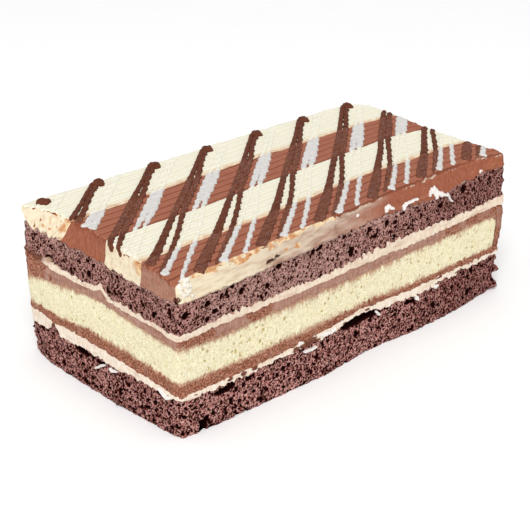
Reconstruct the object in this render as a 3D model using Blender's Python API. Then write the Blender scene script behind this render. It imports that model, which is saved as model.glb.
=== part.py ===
"""Cut piece of a layered chocolate sheet cake.

Metres, +Z up. The origin is at the middle of the base. +X runs along the long side, the long cut face
looks along -Y and the short cut face along -X. Sizes are written in millimetres and turned into metres
when a vertex is placed.

Every layer is described in slice coordinates: u runs 0 to 1 along X, v runs 0 to 1 along Y, and a height
in millimetres. footprint() turns u, v and a height into a place, so the hand-cut sides lean and bulge
the same way through all the layers.
"""

import bisect
import math

import bmesh
import bpy

MM = 0.001

# Driving dimensions, in millimetres
LENGTH = 172.0
WIDTH = 87.0
HEIGHT = 60.0
GAP = 0.3
END_CREAM = 4.2  # cream that closes the right-hand end of the pale sponge
RIDGE_PITCH = 2.15  # combed ridges along the icing
RIDGE_DEPTH = 0.5
SHOULDER_DROP = 1.6  # soft front edge of the icing, from SHOULDER_START to the right-hand end
SHOULDER_WIDTH = 0.05
SHOULDER_START = 0.3

# How far each side stands out from the plain rectangle, at the base, at half height and at the top:
# (share of the side's length, millimetres outwards)
FRONT_SIDE = (
    ((0, 0.2), (0.08, 1.3), (0.4, 2.1), (0.52, 0.3), (0.6, 0.2), (0.7, 1.5), (0.82, 1.2), (1, -1.9)),
    ((0, -0.4), (0.5, -1.6), (1, -2.2)),
    ((0, 0.4), (0.45, -2.6), (0.6, -3.6), (0.87, -5.6), (0.96, -4.4), (1, -2.2)),
)
BACK_SIDE = (
    ((0, 0), (0.3, 1.0), (0.6, 0.2), (1, -1.0)),
    ((0, 0.6), (0.5, 0.4), (1, -0.6)),
    ((0, 0.8), (0.2, 0.4), (0.5, 1.2), (0.8, 1.9), (1, 0.2)),
)
LEFT_SIDE = (
    ((0, -1.4), (0.17, 0), (0.35, 1.6), (0.6, 2.3), (0.85, 2.5), (1, 0.4)),
    ((0, -1.2), (0.4, -0.2), (1, 1.8)),
    ((0, -2.0), (0.2, -3.0), (0.5, -3.8), (0.75, -3.6), (0.9, -1.2), (1, 1.2)),
)
RIGHT_SIDE = (
    ((0, -2.6), (0.5, 0.6), (1, 0)),
    ((0, 1.4), (0.4, 0.9), (1, 0.4)),
    ((0, 0.2), (0.25, -0.9), (0.5, -0.4), (0.85, 2.3), (1, 1.0)),
)
CORNER_RADIUS = {(0, 0): 1.6, (1, 0): 1.4, (0, 1): 2.4, (1, 1): 8.0}

# Heights of the seams between the layers: along the front side, then along the left side
SEAMS = {
    "white_low_under": (
        ((0, 13.6), (0.16, 13.1), (0.43, 14.0), (0.53, 15.9), (0.63, 14.3), (0.9, 15.2), (1, 15.6)),
        ((0, 13.9), (0.14, 15.0), (0.28, 15.2), (0.76, 14.6), (1, 12.8)),
    ),
    "white_low_over": (
        ((0, 15.8), (0.33, 15.7), (0.43, 16.9), (0.53, 17.9), (0.63, 17.1), (1, 17.1)),
        ((0, 15.8), (0.14, 16.8), (0.28, 18.4), (0.66, 19.3), (1, 18.2)),
    ),
    "pale_under": (
        ((0, 20.8), (0.5, 20.2), (1, 19.8)),
        ((0, 20.8), (0.41, 22.2), (0.53, 22.4), (0.78, 20.9), (1, 19.4)),
    ),
    "pale_over": (
        ((0, 34.4), (0.16, 33.0), (0.5, 32.4), (0.63, 33.1), (1, 33.6)),
        ((0, 34.4), (0.29, 35.4), (0.48, 36.3), (0.66, 35.5), (1, 33.2)),
    ),
    "white_high_under": (
        ((0, 37.2), (0.19, 37.1), (0.36, 36.2), (0.63, 37.0), (1, 37.2)),
        ((0, 37.2), (0.4, 37.9), (0.49, 40.2), (0.58, 38.4), (0.79, 38.8), (1, 40.8)),
    ),
    "white_high_over": (
        ((0, 39.6), (0.19, 39.6), (0.36, 38.9), (0.53, 39.6), (0.77, 41.2), (1, 41.3)),
        ((0, 39.6), (0.29, 39.6), (0.4, 40.2), (0.49, 42.7), (0.58, 40.6), (0.85, 41.0), (1, 43.0)),
    ),
    "icing_under": (
        ((0, 51.3), (0.5, 51.8), (0.63, 51.3), (0.77, 52.3), (0.91, 53.8), (1, 53.7)),
        ((0, 51.3), (0.54, 51.6), (1, 53.2)),
    ),
}

# Where the icing changes colour, as a share of the width, from the front edge to the back
STRIPE_EDGES = (
    ((0, 0.217), (0.45, 0.223), (0.65, 0.226), (0.86, 0.235), (1, 0.215)),
    ((0, 0.476), (0.5, 0.482), (0.8, 0.5), (0.93, 0.492), (1, 0.465)),
    ((0, 0.735), (0.5, 0.755), (0.85, 0.74), (1, 0.71)),
)
# The last ivory stripe shows only as a thin wedge against the front side
WEDGE_END = 0.44
WEDGE_WIDTH = ((0, 0.030), (WEDGE_END, 0.008))

LONG_STATIONS = 17
CROSS_STATIONS = 11
STRIPE_STATIONS = 11
STRIPE_UNDER_POINTS = 4
SHARP_ANGLE = 35.0
END_SHARE = 1 - END_CREAM / LENGTH


def profile(points, share):
    """Height read off straight lines between the profile's points."""
    at = [point[0] for point in points]
    right = min(max(bisect.bisect_right(at, share), 1), len(points) - 1)
    (x0, y0), (x1, y1) = points[right - 1], points[right]
    return y0 + (y1 - y0) * (share - x0) / (x1 - x0)


def side(levels, share, height):
    """Outward offset of one side, blended from its base, its half-height and its top profiles."""
    low, middle, high = (profile(points, share) for points in levels)
    rise = 2 * height / HEIGHT
    if rise < 1:
        return low + (middle - low) * rise
    return middle + (high - middle) * (rise - 1)


def footprint(u, v, height):
    """Place of slice coordinates u, v at a height, in metres.

    The four sides are blended across the slice, and points near a corner are drawn in towards the
    middle, so that the corner is round.
    """
    x_low = -LENGTH / 2 - side(LEFT_SIDE, v, height)
    x_high = LENGTH / 2 + side(RIGHT_SIDE, v, height)
    y_low = -WIDTH / 2 - side(FRONT_SIDE, u, height)
    y_high = WIDTH / 2 + side(BACK_SIDE, u, height)
    x = x_low + (x_high - x_low) * u
    y = y_low + (y_high - y_low) * v
    for (corner_u, corner_v), radius in CORNER_RADIUS.items():
        along = abs(u - corner_u) * LENGTH / radius
        across = abs(v - corner_v) * WIDTH / radius
        if along < 1 and across < 1:
            drawn_in = radius * (1 - math.sqrt(0.5)) * (1 - along) * (1 - across)
            x += drawn_in * (1 - 2 * corner_u)
            y += drawn_in * (1 - 2 * corner_v)
    return x * MM, y * MM, height * MM


def seam(name, u, v):
    """Height of a seam inside the slice: its front profile carried back, raised by its left profile."""
    front, left = SEAMS[name]
    rise = profile(left, v) - left[0][1]
    hidden_wave = 0.5 * math.sin(7 * u + 4 * v) * u * v
    return profile(front, u) + rise * (1 - 0.6 * u) + hidden_wave


def spread(count, rounding):
    """Shares from 0 to 1, closer together near both ends where the corners are round."""
    steps = [i / (count - 1) for i in range(count)]
    return [s - rounding * math.sin(2 * math.pi * s) / (2 * math.pi) for s in steps]


def material(name, colour, roughness):
    """Plain food finish: a Principled shader with the piece's colour and roughness."""
    made = bpy.data.materials.new(name)
    made.use_nodes = True
    shader = made.node_tree.nodes["Principled BSDF"]
    shader.inputs["Base Color"].default_value = (*colour, 1)
    shader.inputs["Roughness"].default_value = roughness
    shader.inputs["Metallic"].default_value = 0
    made.diffuse_color = (*colour, 1)
    return made


def finish(bm, name, parent, finish_material):
    """Turns the bmesh into a named object, smooth over its soft bends, with its faces facing out."""
    bmesh.ops.recalc_face_normals(bm, faces=bm.faces)
    mesh = bpy.data.meshes.new(name)
    bm.to_mesh(mesh)
    bm.free()
    mesh.shade_smooth()
    mesh.set_sharp_from_angle(angle=math.radians(SHARP_ANGLE))
    mesh.materials.append(finish_material)
    made = bpy.data.objects.new(name, mesh)
    made.parent = parent
    bpy.context.scene.collection.objects.link(made)
    return made


def extrude(bm, faces, rise, keep_base):
    """Extrudes the faces straight up by rise in slice coordinates and returns the moved faces.

    Without keep_base the faces they came from are taken away, so that no wall is left inside.
    """
    moved = bmesh.ops.extrude_face_region(bm, geom=faces)["geom"]
    if not keep_base:
        bmesh.ops.delete(bm, geom=faces, context="FACES_ONLY")
    bmesh.ops.translate(bm, vec=(0, 0, rise), verts=[g for g in moved if isinstance(g, bmesh.types.BMVert)])
    return [g for g in moved if isinstance(g, bmesh.types.BMFace)]


def layer(name, parent, finish_material, under, over, last_u=1.0, rows=1, end_under=None):
    """One layer of the slice between two seams: a grid in slice coordinates, extruded up in rows.

    under and over are functions of u and v that give the heights of its faces. last_u is where it stops
    at the right-hand end. With end_under its last strip also reaches down to that height.
    """
    stations = [u for u in spread(LONG_STATIONS, 0.9) if u < END_SHARE - 0.01] + [END_SHARE]
    if last_u > END_SHARE:
        stations.append(1.0)
    across = spread(CROSS_STATIONS, 0.9)
    bm = bmesh.new()
    grid = [[bm.verts.new((u, v, 0)) for v in across] for u in stations]
    for near, far in zip(grid, grid[1:]):
        for quad in zip(near, far, far[1:], near[1:]):
            bm.faces.new(quad)
    base = list(bm.faces)
    raised = extrude(bm, base, 1 / rows, keep_base=True)
    for _ in range(rows - 1):
        raised = extrude(bm, raised, 1 / rows, keep_base=False)
    if end_under:
        last_strip = base[-(CROSS_STATIONS - 1) :]
        extrude(bm, last_strip, -1, keep_base=False)
    for vert in bm.verts:
        u, v, rise = vert.co
        if rise < 0:
            height = end_under(u, v)
        else:
            height = under(u, v) + (over(u, v) - under(u, v)) * rise
        vert.co = footprint(min(u, last_u), v, height)
    return finish(bm, name, parent, finish_material)


def between(under, over):
    """Height functions of a layer's two faces, each half a gap clear of its seam."""

    def lower(u, v):
        return seam(under, u, v) + GAP / 2 if under else 0.0

    def upper(u, v):
        return seam(over, u, v) - GAP / 2

    return lower, upper


def icing_top(u, v):
    """Height of the icing's crests: level, but sinking towards the right along the front edge."""
    return HEIGHT - SHOULDER_DROP * max(0.0, 1 - v / SHOULDER_WIDTH) * max(0.0, u - SHOULDER_START)


def stripe(name, parent, finish_material, near_edge, far_edge, last_u=1.0):
    """One stripe of combed icing, from the left side to last_u.

    A cross-section with a ridged top is laid out at each station along the slice, neighbouring sections
    are joined, and the two ends are closed. near_edge and far_edge give the stripe's sides as shares of
    the width.
    """
    stations = [u for u in spread(STRIPE_STATIONS, 0.5) if u <= last_u]
    ridges = max(1, round((far_edge(0) - near_edge(0)) * WIDTH / RIDGE_PITCH))
    bm = bmesh.new()
    sections = []
    for u in stations:
        near, far = near_edge(u), far_edge(u)
        section = []
        for step in range(2 * ridges + 1):
            v = near + (far - near) * step / (2 * ridges)
            depth = 0 if step % 2 else RIDGE_DEPTH
            section.append(footprint(u, v, icing_top(u, v) - depth))
        for step in reversed(range(STRIPE_UNDER_POINTS)):
            v = near + (far - near) * step / (STRIPE_UNDER_POINTS - 1)
            section.append(footprint(u, v, seam("icing_under", u, v) + GAP))
        sections.append([bm.verts.new(point) for point in section])
    for here, there in zip(sections, sections[1:]):
        for k in range(len(here)):
            after = (k + 1) % len(here)
            bm.faces.new((here[k], there[k], there[after], here[after]))
    bm.faces.new(sections[0])
    bm.faces.new(sections[-1])
    bmesh.ops.triangulate(bm, faces=[f for f in bm.faces if len(f.verts) > 4])
    return finish(bm, name, parent, finish_material)


def edge_line(points, shift):
    """A stripe's side as a function of u, moved by shift millimetres across the slice."""
    return lambda u: profile(points, u) + shift / WIDTH


def build_sponges(parent):
    """The dark sponge at the base, the pale one in the middle and the dark one under the icing."""
    dark = material("dark_sponge", (0.085, 0.036, 0.026), 0.9)
    pale = material("pale_sponge", (0.86, 0.74, 0.46), 0.9)
    layer("sponge_bottom", parent, dark, *between(None, "white_low_under"), rows=2)
    pale_end = END_SHARE - GAP / LENGTH
    layer("sponge_middle", parent, pale, *between("pale_under", "pale_over"), last_u=pale_end, rows=2)
    layer("sponge_top", parent, dark, *between("white_high_over", "icing_under"), rows=2)


def build_creams(parent):
    """Two pairs of creams, white against the dark sponges and chocolate against the pale one."""
    white = material("white_cream", (0.83, 0.68, 0.5), 0.55)
    chocolate = material("chocolate_cream", (0.3, 0.12, 0.07), 0.55)
    layer("cream_lower_white", parent, white, *between("white_low_under", "white_low_over"))
    layer("cream_lower_chocolate", parent, chocolate, *between("white_low_over", "pale_under"))
    lower, upper = between("pale_over", "white_high_under")
    layer(
        "cream_upper_chocolate",
        parent,
        chocolate,
        lower,
        upper,
        end_under=lambda u, v: seam("pale_under", u, v) + GAP / 2,
    )
    layer("cream_upper_white", parent, white, *between("white_high_under", "white_high_over"))


def build_icing(parent):
    """Stripes of chocolate and ivory icing side by side, and the thin ivory wedge at the front."""
    ivory = material("ivory_icing", (0.85, 0.74, 0.53), 0.4)
    chocolate = material("chocolate_icing", (0.32, 0.12, 0.065), 0.4)
    front, middle, back = STRIPE_EDGES

    def in_front_of_chocolate(u):
        return edge_line(WEDGE_WIDTH, GAP)(u) if u <= WEDGE_END else 0.0

    stripe("icing_ivory_edge", parent, ivory, lambda u: 0.0, edge_line(WEDGE_WIDTH, 0), last_u=WEDGE_END)
    stripe("icing_chocolate_front", parent, chocolate, in_front_of_chocolate, edge_line(front, -GAP / 2))
    stripe("icing_ivory_front", parent, ivory, edge_line(front, GAP / 2), edge_line(middle, -GAP / 2))
    stripe("icing_chocolate_back", parent, chocolate, edge_line(middle, GAP / 2), edge_line(back, -GAP / 2))
    stripe("icing_ivory_back", parent, ivory, edge_line(back, GAP / 2), lambda u: 1.0)


def main():
    for stale in list(bpy.data.objects):
        bpy.data.objects.remove(stale, do_unlink=True)
    cake = bpy.data.objects.new("cake", None)
    bpy.context.scene.collection.objects.link(cake)
    build_sponges(cake)
    build_creams(cake)
    build_icing(cake)


main()
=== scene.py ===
"""Looks of a cut piece of layered chocolate sheet cake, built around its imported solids.

Millimetres inside the script, turned into metres when a mesh is made. The origin is at the middle of the
base, +X runs along the long cut side, which looks along -Y, and +Z points up. Every layer is described in
slice coordinates: u runs 0 to 1 along X, v runs 0 to 1 along Y, and a height. footprint() turns them into
a place on the hand-cut slice.
"""

import itertools
import math

import bpy
import numpy as np
from mathutils import Matrix, Vector


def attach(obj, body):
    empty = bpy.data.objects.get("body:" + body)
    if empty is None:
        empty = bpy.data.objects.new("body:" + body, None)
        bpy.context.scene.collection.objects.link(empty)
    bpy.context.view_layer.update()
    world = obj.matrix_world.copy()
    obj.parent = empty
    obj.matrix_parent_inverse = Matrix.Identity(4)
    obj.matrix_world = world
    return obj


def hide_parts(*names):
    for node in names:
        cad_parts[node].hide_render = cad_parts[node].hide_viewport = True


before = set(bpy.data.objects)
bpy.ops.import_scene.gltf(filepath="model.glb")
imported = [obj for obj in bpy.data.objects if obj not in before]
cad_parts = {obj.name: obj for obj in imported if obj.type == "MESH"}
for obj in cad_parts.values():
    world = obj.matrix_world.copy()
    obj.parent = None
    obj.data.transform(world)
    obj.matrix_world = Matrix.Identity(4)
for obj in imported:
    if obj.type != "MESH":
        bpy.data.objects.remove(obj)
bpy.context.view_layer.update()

MM = 0.001

# ---------------------------------------------------------------- sizes, in millimetres

LENGTH = 172.0
WIDTH = 87.0
HEIGHT = 60.0
GAP = 0.3  # between the pale sponge's right-hand end and the cream that closes it
END_CREAM = 4.2  # how thick that cream is
END_SHARE = 1 - END_CREAM / LENGTH

# How far each side stands out from the plain rectangle, at the base, at half height and at the top:
# (share of the side's length, millimetres outwards)
FRONT_SIDE = (
    ((0, 0.2), (0.08, 1.3), (0.4, 2.1), (0.52, 0.3), (0.6, 0.2), (0.7, 1.5), (0.82, 1.2), (1, -1.9)),
    ((0, -0.4), (0.5, -1.6), (1, -2.2)),
    ((0, 0.4), (0.45, -2.6), (0.6, -3.6), (0.87, -5.6), (0.96, -4.4), (1, -2.2)),
)
BACK_SIDE = (
    ((0, 0), (0.3, 1.0), (0.6, 0.2), (1, -1.0)),
    ((0, 0.6), (0.5, 0.4), (1, -0.6)),
    ((0, 0.8), (0.2, 0.4), (0.5, 1.2), (0.8, 1.9), (1, 0.2)),
)
LEFT_SIDE = (
    ((0, -1.4), (0.17, 0), (0.35, 1.6), (0.6, 2.3), (0.85, 2.5), (1, 0.4)),
    ((0, -1.2), (0.4, -0.2), (1, 1.8)),
    ((0, -1.7), (0.23, -2.5), (0.51, -4.8), (0.79, -3.1), (0.92, -1.4), (1, 1.2)),
)
RIGHT_SIDE = (
    ((0, -2.6), (0.5, 0.6), (1, 0)),
    ((0, 1.4), (0.4, 0.9), (1, 0.4)),
    ((0, 0.2), (0.25, -0.9), (0.5, -0.4), (0.85, 2.3), (1, 1.0)),
)
# Radius of each corner (u, v)
CORNER_RADIUS = {(0, 0): 1.6, (1, 0): 1.4, (0, 1): 2.4, (1, 1): 8.0}
# The icing's cut sides lean in, or out, by this much more at the top than at LEAN_START
LEAN_START = 51.0
FRONT_LEAN = (
    (0, -0.6), (0.2, -0.5), (0.43, -1.2), (0.58, -2.0), (0.64, -2.9), (0.9, -2.8), (0.94, -1.6),
    (1, -1.3),
)
LEFT_LEAN = ((0, 0.5), (0.1, -0.1), (0.51, 0.1), (0.635, -1.0), (0.82, -2.4), (0.91, -1.3), (1, 0.2))

# Heights of the seams between the layers: along the front side, then along the left side
SEAMS = {
    "white_low_under": (
        (
            (0, 14.5), (0.16, 14.4), (0.3, 14.8), (0.4, 15.6), (0.45, 15.4), (0.477, 16.4), (0.51, 17.4),
            (0.547, 16.8), (0.575, 15.2), (0.63, 15.1), (0.75, 15.8), (1, 16.4),
        ),
        (
            (0, 14.5), (0.14, 15.3), (0.28, 15.2), (0.66, 14.6), (0.76, 14.6), (0.8, 18.0), (0.84, 14.6),
            (1, 12.8),
        ),
    ),
    "white_low_over": (
        (
            (0, 16.4), (0.16, 16.1), (0.3, 16.4), (0.37, 17.5), (0.43, 18.0), (0.51, 19.5), (0.56, 18.9),
            (0.64, 18.0), (0.77, 18.4), (0.86, 18.2), (1, 17.8),
        ),
        (
            (0, 16.4), (0.14, 17.2), (0.28, 18.4), (0.66, 19.3), (0.76, 18.6), (0.8, 18.3), (0.86, 19.6),
            (1, 19.0),
        ),
    ),
    "pale_under": (
        ((0, 20.8), (0.25, 19.9), (0.4, 20.2), (0.5, 20.3), (0.7, 19.8), (0.82, 20.1), (1, 19.6)),
        ((0, 20.2), (0.15, 21.2), (0.41, 22.2), (0.53, 22.4), (0.78, 20.9), (1, 20.4)),
    ),
    "pale_over": (
        (
            (0, 34.8), (0.05, 34.0), (0.12, 33.2), (0.2, 33.8), (0.35, 33.9), (0.5, 33.8), (0.63, 34.1),
            (1, 34.0),
        ),
        ((0, 35.4), (0.1, 36.2), (0.29, 36.8), (0.48, 37.8), (0.66, 36.9), (0.85, 35.3), (1, 33.4)),
    ),
    "white_high_under": (
        (
            (0, 37.7), (0.19, 37.6), (0.36, 36.9), (0.56, 37.2), (0.66, 36.6), (0.8, 37.2), (0.9, 37.6),
            (1, 38.4),
        ),
        (
            (0, 37.7), (0.1, 38.6), (0.445, 38.8), (0.49, 41.5), (0.53, 39.3), (0.79, 39.2),
            (0.95, 41.8), (1, 42.9),
        ),
    ),
    "white_high_over": (
        (
            (0, 39.8), (0.19, 39.9), (0.36, 39.1), (0.47, 39.1), (0.57, 40.1), (0.7, 41.1), (0.78, 40.6),
            (0.9, 40.4), (1, 41.6),
        ),
        (
            (0, 39.8), (0.29, 40.0), (0.445, 40.2), (0.49, 43.3), (0.525, 41.1), (0.58, 40.7),
            (0.85, 41.6), (1, 43.3),
        ),
    ),
    "icing_under": (
        (
            (0, 52.2), (0.05, 52.3), (0.15, 51.8), (0.28, 52.1), (0.4, 52.7), (0.55, 53.1), (0.67, 52.8),
            (0.73, 51.6), (0.8, 51.4), (0.87, 53.0), (0.93, 53.8), (1, 54.8),
        ),
        ((0, 52.2), (0.1, 51.5), (0.3, 51.2), (0.54, 51.2), (0.8, 51.9), (1, 53.0)),
    ),
}

# Where the icing changes colour: (u, millimetres along Y), from the front edge to the back
STRIPE_BORDERS = (
    (
        (0, -23.8), (0.16, -23.2), (0.34, -23.1), (0.45, -21.5), (0.66, -19.7), (0.88, -19.6),
        (0.94, -20.4), (1, -22.6),
    ),
    ((0, -1.4), (0.16, -1.9), (0.28, -1.5), (0.45, 0.3), (0.6, 1.3), (0.88, 2.7), (0.95, 1.5), (1, -0.8)),
    (
        (0, 20.0), (0.16, 20.4), (0.3, 21.2), (0.45, 22.1), (0.6, 22.5), (0.88, 22.1), (0.95, 20.7),
        (1, 19.1),
    ),
)
WEDGE_END = 0.44
WEDGE_WIDTH = ((0, 0.004), (0.03, 0.011), (WEDGE_END, 0.006))

# The comb's ridges along the icing: every second groove is deeper
RIDGE_PITCH = 2.1
GROOVE = 0.2
DEEP_GROOVE = 0.34

# The icing's mesh: steps along and across its top, and rows down its sides
ICING_STEP_ALONG = 0.5
ICING_STEP_ACROSS = 0.34
ICING_WALL_ROWS = 24

# A slice coordinate below this, or this close to 1, lies on a side of the cake
ON_SIDE = 1e-6

# Holes that the knife opened: place along the side, height, half length, half height, depth
FRONT_HOLES = (
    (-65.2, 12.3, 4.8, 0.9, 2.6), (-75.6, 1.6, 1.7, 3.2, 3.4), (-73.9, 4.5, 1.2, 1.3, 2.2),
    (-71.5, 47.5, 1.1, 0.9, 2.0), (-65.4, 48.4, 1.0, 0.8, 1.8), (-81.0, 46.6, 1.5, 1.2, 2.2),
    (-68.2, 43.7, 1.2, 0.9, 1.8), (-42.4, 53.6, 2.3, 0.75, 1.6), (-39.0, 54.3, 1.6, 0.55, 1.6),
    (-84.6, 53.2, 1.7, 1.2, 2.4), (-85.6, 44.5, 1.0, 1.5, 2.2), (-38.2, 50.6, 1.4, 1.0, 1.8),
    (-21.6, 50.2, 1.1, 1.0, 1.8), (-17.6, 51.2, 0.8, 1.4, 1.8), (-60.4, 50.4, 1.2, 0.9, 1.8),
    (-56.0, 46.8, 1.2, 1.1, 2.0), (49.0, 47.2, 1.3, 1.2, 2.0), (63.5, 50.0, 1.5, 1.3, 2.2),
    (-1.5, 43.9, 1.6, 1.9, 2.2), (17.9, 49.1, 1.0, 1.4, 2.0), (22.5, 48.1, 1.0, 1.0, 1.8),
    (11.4, 45.8, 1.1, 1.0, 1.8), (2.0, 15.4, 10.6, 1.9, 3.4), (-53.5, 12.9, 2.2, 0.6, 1.8),
    (31.0, 13.2, 4.0, 0.7, 2.0),
)
LEFT_HOLES = (
    (9.2, 13.6, 4.6, 1.3, 2.8), (-1.8, 13.0, 2.8, 1.1, 2.4), (-43.2, 52.8, 1.4, 1.2, 2.2),
    (-39.2, 47.5, 1.1, 1.4, 2.2), (-33.6, 14.4, 1.3, 1.0, 2.0), (-10.0, 13.5, 1.5, 0.8, 2.0),
    (30.5, 42.6, 1.6, 1.5, 2.2), (7.0, 44.4, 1.2, 1.0, 1.8), (-4.8, 42.4, 1.0, 0.9, 1.6),
    (7.8, 2.3, 1.8, 1.1, 2.2), (-12.5, 6.4, 1.1, 1.6, 2.2), (21.5, 3.8, 1.3, 1.1, 2.0),
)

# Stations round the rim, finer on the two cut sides that face the camera: front, right, back, left
RIM_STATIONS = (637, 258, 511, 322)
RIM_CORNERS = ((0, 0), (1, 0), (1, 1), (0, 1))
# Rows of points up the walls of the base sponge and of the other two
BASE_ROWS = 51
SPONGE_ROWS = 46
# Rings that close a layer's bottom and top, as shares of the way out from the middle
CAP_RINGS = (0.963, 0.9, 0.8, 0.63, 0.4, 0.15)

# ---------------------------------------------------------------- random fields

SCATTER = np.random.default_rng(41).random((131071, 5))
LATTICE_STEPS = np.array((7919, 104729, 1299709))
SEED_STEP = 15485863
CORNERS_OF_CELL = np.array(list(itertools.product((0, 1), repeat=3)))
CELLS_AROUND = np.array(list(itertools.product((-1, 0, 1), repeat=3)))


def places(x, y, z=0.0):
    """Points out of their coordinates, each an array or one number."""
    return np.stack(np.broadcast_arrays(x, y, z), axis=-1)


def scattered(cells, seed):
    """Five random shares from 0 to 1 for each cell of a lattice, the same on each run."""
    return SCATTER[(cells @ LATTICE_STEPS + seed * SEED_STEP) % len(SCATTER)]


def noise(points, size, seed):
    """Smooth random field from -1 to 1 that changes over about size millimetres.

    Each lattice corner holds a random value, and a point blends its cell's eight corners with
    smoothstep weights. size may be one number or one for each axis.
    """
    grid = points / np.asarray(size, float)
    cell = np.floor(grid).astype(np.int64)
    share = grid - cell
    share = share * share * (3 - 2 * share)
    total = np.zeros(grid.shape[:-1])
    for step in CORNERS_OF_CELL:
        weight = np.prod(np.where(step, share, 1 - share), axis=-1)
        total += weight * scattered(cell + step, seed)[..., 0]
    return 2 * total - 1


def fractal(points, size, seed, octaves=3):
    """Sum of noise fields, each half as large and half as strong as the one before."""
    size = np.asarray(size, float)
    return sum(noise(points, size / 2**k, seed + 31 * k) / 2**k for k in range(octaves))


def pores(points, cell_size, radius, kept, seed):
    """How deep a point lies inside the round pores of a crumb, in millimetres.

    Each cell of a lattice holds one pore at a random place with a random radius, or none. Inside a pore
    of radius r, at distance d from its middle, the depth is the root of r squared less d squared.
    """
    home = np.floor(points / cell_size).astype(np.int64)
    deepest = np.zeros(points.shape[:-1])
    for step in CELLS_AROUND:
        cell = home + step
        chance = scattered(cell, seed)
        middle = (cell + chance[..., :3]) * cell_size
        size = radius[0] + (radius[1] - radius[0]) * chance[..., 3] ** 2
        inside = size**2 - np.sum((points - middle) ** 2, axis=-1)
        inside = np.where(chance[..., 4] < kept, inside, 0)
        deepest = np.maximum(deepest, inside)
    return np.sqrt(deepest)


def warped(points, size, amount, seed):
    """Points moved about by noise, so that round pores turn ragged."""
    shifts = [noise(points, size, seed + axis) for axis in range(3)]
    return points + amount * np.stack(shifts, axis=-1)


def smooth(value, low, high):
    """Smoothstep of a value from 0 at low to 1 at high."""
    share = np.clip((value - low) / (high - low), 0, 1)
    return share * share * (3 - 2 * share)


# ---------------------------------------------------------------- the slice's form


def profile(points, share):
    """Values read off straight lines between the profile's points."""
    at, value = zip(*points)
    return np.interp(share, at, value)


def side(levels, share, height):
    """Outward offset of one side, blended from its base, its half-height and its top profiles."""
    low, middle, high = (profile(points, share) for points in levels)
    rise = 2 * height / HEIGHT
    return np.where(rise < 1, low + (middle - low) * rise, middle + (high - middle) * (rise - 1))


def side_lines(u, v, height):
    """X of the left and right sides and Y of the front and back. The two cut ones lean more in the icing."""
    lean = np.clip((height - LEAN_START) / (HEIGHT - LEAN_START), 0, 1)
    x_low = -LENGTH / 2 - side(LEFT_SIDE, v, height) - lean * profile(LEFT_LEAN, v)
    x_high = LENGTH / 2 + side(RIGHT_SIDE, v, height)
    y_low = -WIDTH / 2 - side(FRONT_SIDE, u, height) - lean * profile(FRONT_LEAN, u)
    y_high = WIDTH / 2 + side(BACK_SIDE, u, height)
    return x_low, x_high, y_low, y_high


def footprint(u, v, height):
    """Places of slice coordinates u, v at a height: the four sides blended across, with round corners."""
    u, v, height = np.broadcast_arrays(np.asarray(u, float), v, height)
    x_low, x_high, y_low, y_high = side_lines(u, v, height)
    x = x_low + (x_high - x_low) * u
    y = y_low + (y_high - y_low) * v
    for (corner_u, corner_v), radius in CORNER_RADIUS.items():
        along = np.clip(1 - np.abs(u - corner_u) * LENGTH / (1.5 * radius), 0, 1)
        across = np.clip(1 - np.abs(v - corner_v) * WIDTH / (1.5 * radius), 0, 1)
        drawn_in = radius * (1 - math.sqrt(0.5)) * along**2 * across**2
        x = x + drawn_in * (1 - 2 * corner_u)
        y = y + drawn_in * (1 - 2 * corner_v)
    return places(x, y, height)


def slice_coordinates(x, y, height):
    """Slice coordinates of level places, found by repeating the footprint's own blend."""
    u = x / LENGTH + 0.5
    v = y / WIDTH + 0.5
    for _ in range(4):
        x_low, x_high, y_low, y_high = side_lines(u, v, height)
        u = (x - x_low) / (x_high - x_low)
        v = (y - y_low) / (y_high - y_low)
    return u, v


def border(points):
    """Where the icing changes colour, as a share v of the width, out of a line given in millimetres."""

    def share(u):
        y_low, y_high = side_lines(u, 0.5, HEIGHT)[2:]
        return (profile(points, u) - y_low) / (y_high - y_low)

    return share


def seam(name, u, v):
    """Height of a seam inside the slice: its front profile carried back, raised by its left profile."""
    front, left = SEAMS[name]
    rise = profile(left, v) - left[0][1]
    hidden_wave = 0.5 * np.sin(7 * u + 4 * v) * u * v
    return profile(front, u) + rise * (1 - 0.6 * u) + hidden_wave


def cut_edge(name, shift, waves, teeth, spikes=((0, 0), (1, 0))):
    """A seam as the knife left it, moved up by shift, as a function of u and v.

    Slow waves, fine upright teeth, and spikes that only rise: the root of the positive part of noise
    1 mm wide, times the spikes' profile along u.
    """
    seed = sorted(SEAMS).index(name) * 7 + 100

    def height(u, v):
        level = seam(name, u, v)
        flat = footprint(u, v, 30.0)
        slow = fractal(flat, 7.0, seed, 2)
        fine = fractal(flat, 1.3, seed + 3, 2)
        rising = np.sqrt(np.clip(noise(flat, 1.0, seed + 5), 0, 1))
        rising = rising * (0.6 + 0.5 * noise(flat, 3.5, seed + 6))
        return level + waves * slow + teeth * fine + profile(spikes, u) * rising + shift

    return height


def outward(loops):
    """Level unit vectors that point out of closed counter-clockwise loops, shaped (rows, stations, 3)."""
    along = np.roll(loops, -4, axis=1) - np.roll(loops, 4, axis=1)
    across = places(along[..., 1], -along[..., 0])
    return across / np.linalg.norm(across, axis=-1, keepdims=True)


def holes(u, v, place):
    """Depth of the listed holes in the front and left cut faces: round-bottomed, with ragged rims."""
    rough = warped(place, 1.1, 0.45, 500)
    deepest = np.zeros(place.shape[:-1])
    for spots, on_side, axis in ((FRONT_HOLES, v == 0, 0), (LEFT_HOLES, u == 0, 1)):
        for along, height, half_length, half_height, depth in spots:
            reach = ((rough[..., axis] - along) / half_length) ** 2
            reach = reach + ((rough[..., 2] - height) / half_height) ** 2
            bowl = depth * np.sqrt(np.clip(1 - reach, 0, 1))
            deepest = np.where(on_side, np.maximum(deepest, bowl), deepest)
    return deepest


# ---------------------------------------------------------------- meshes

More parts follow.
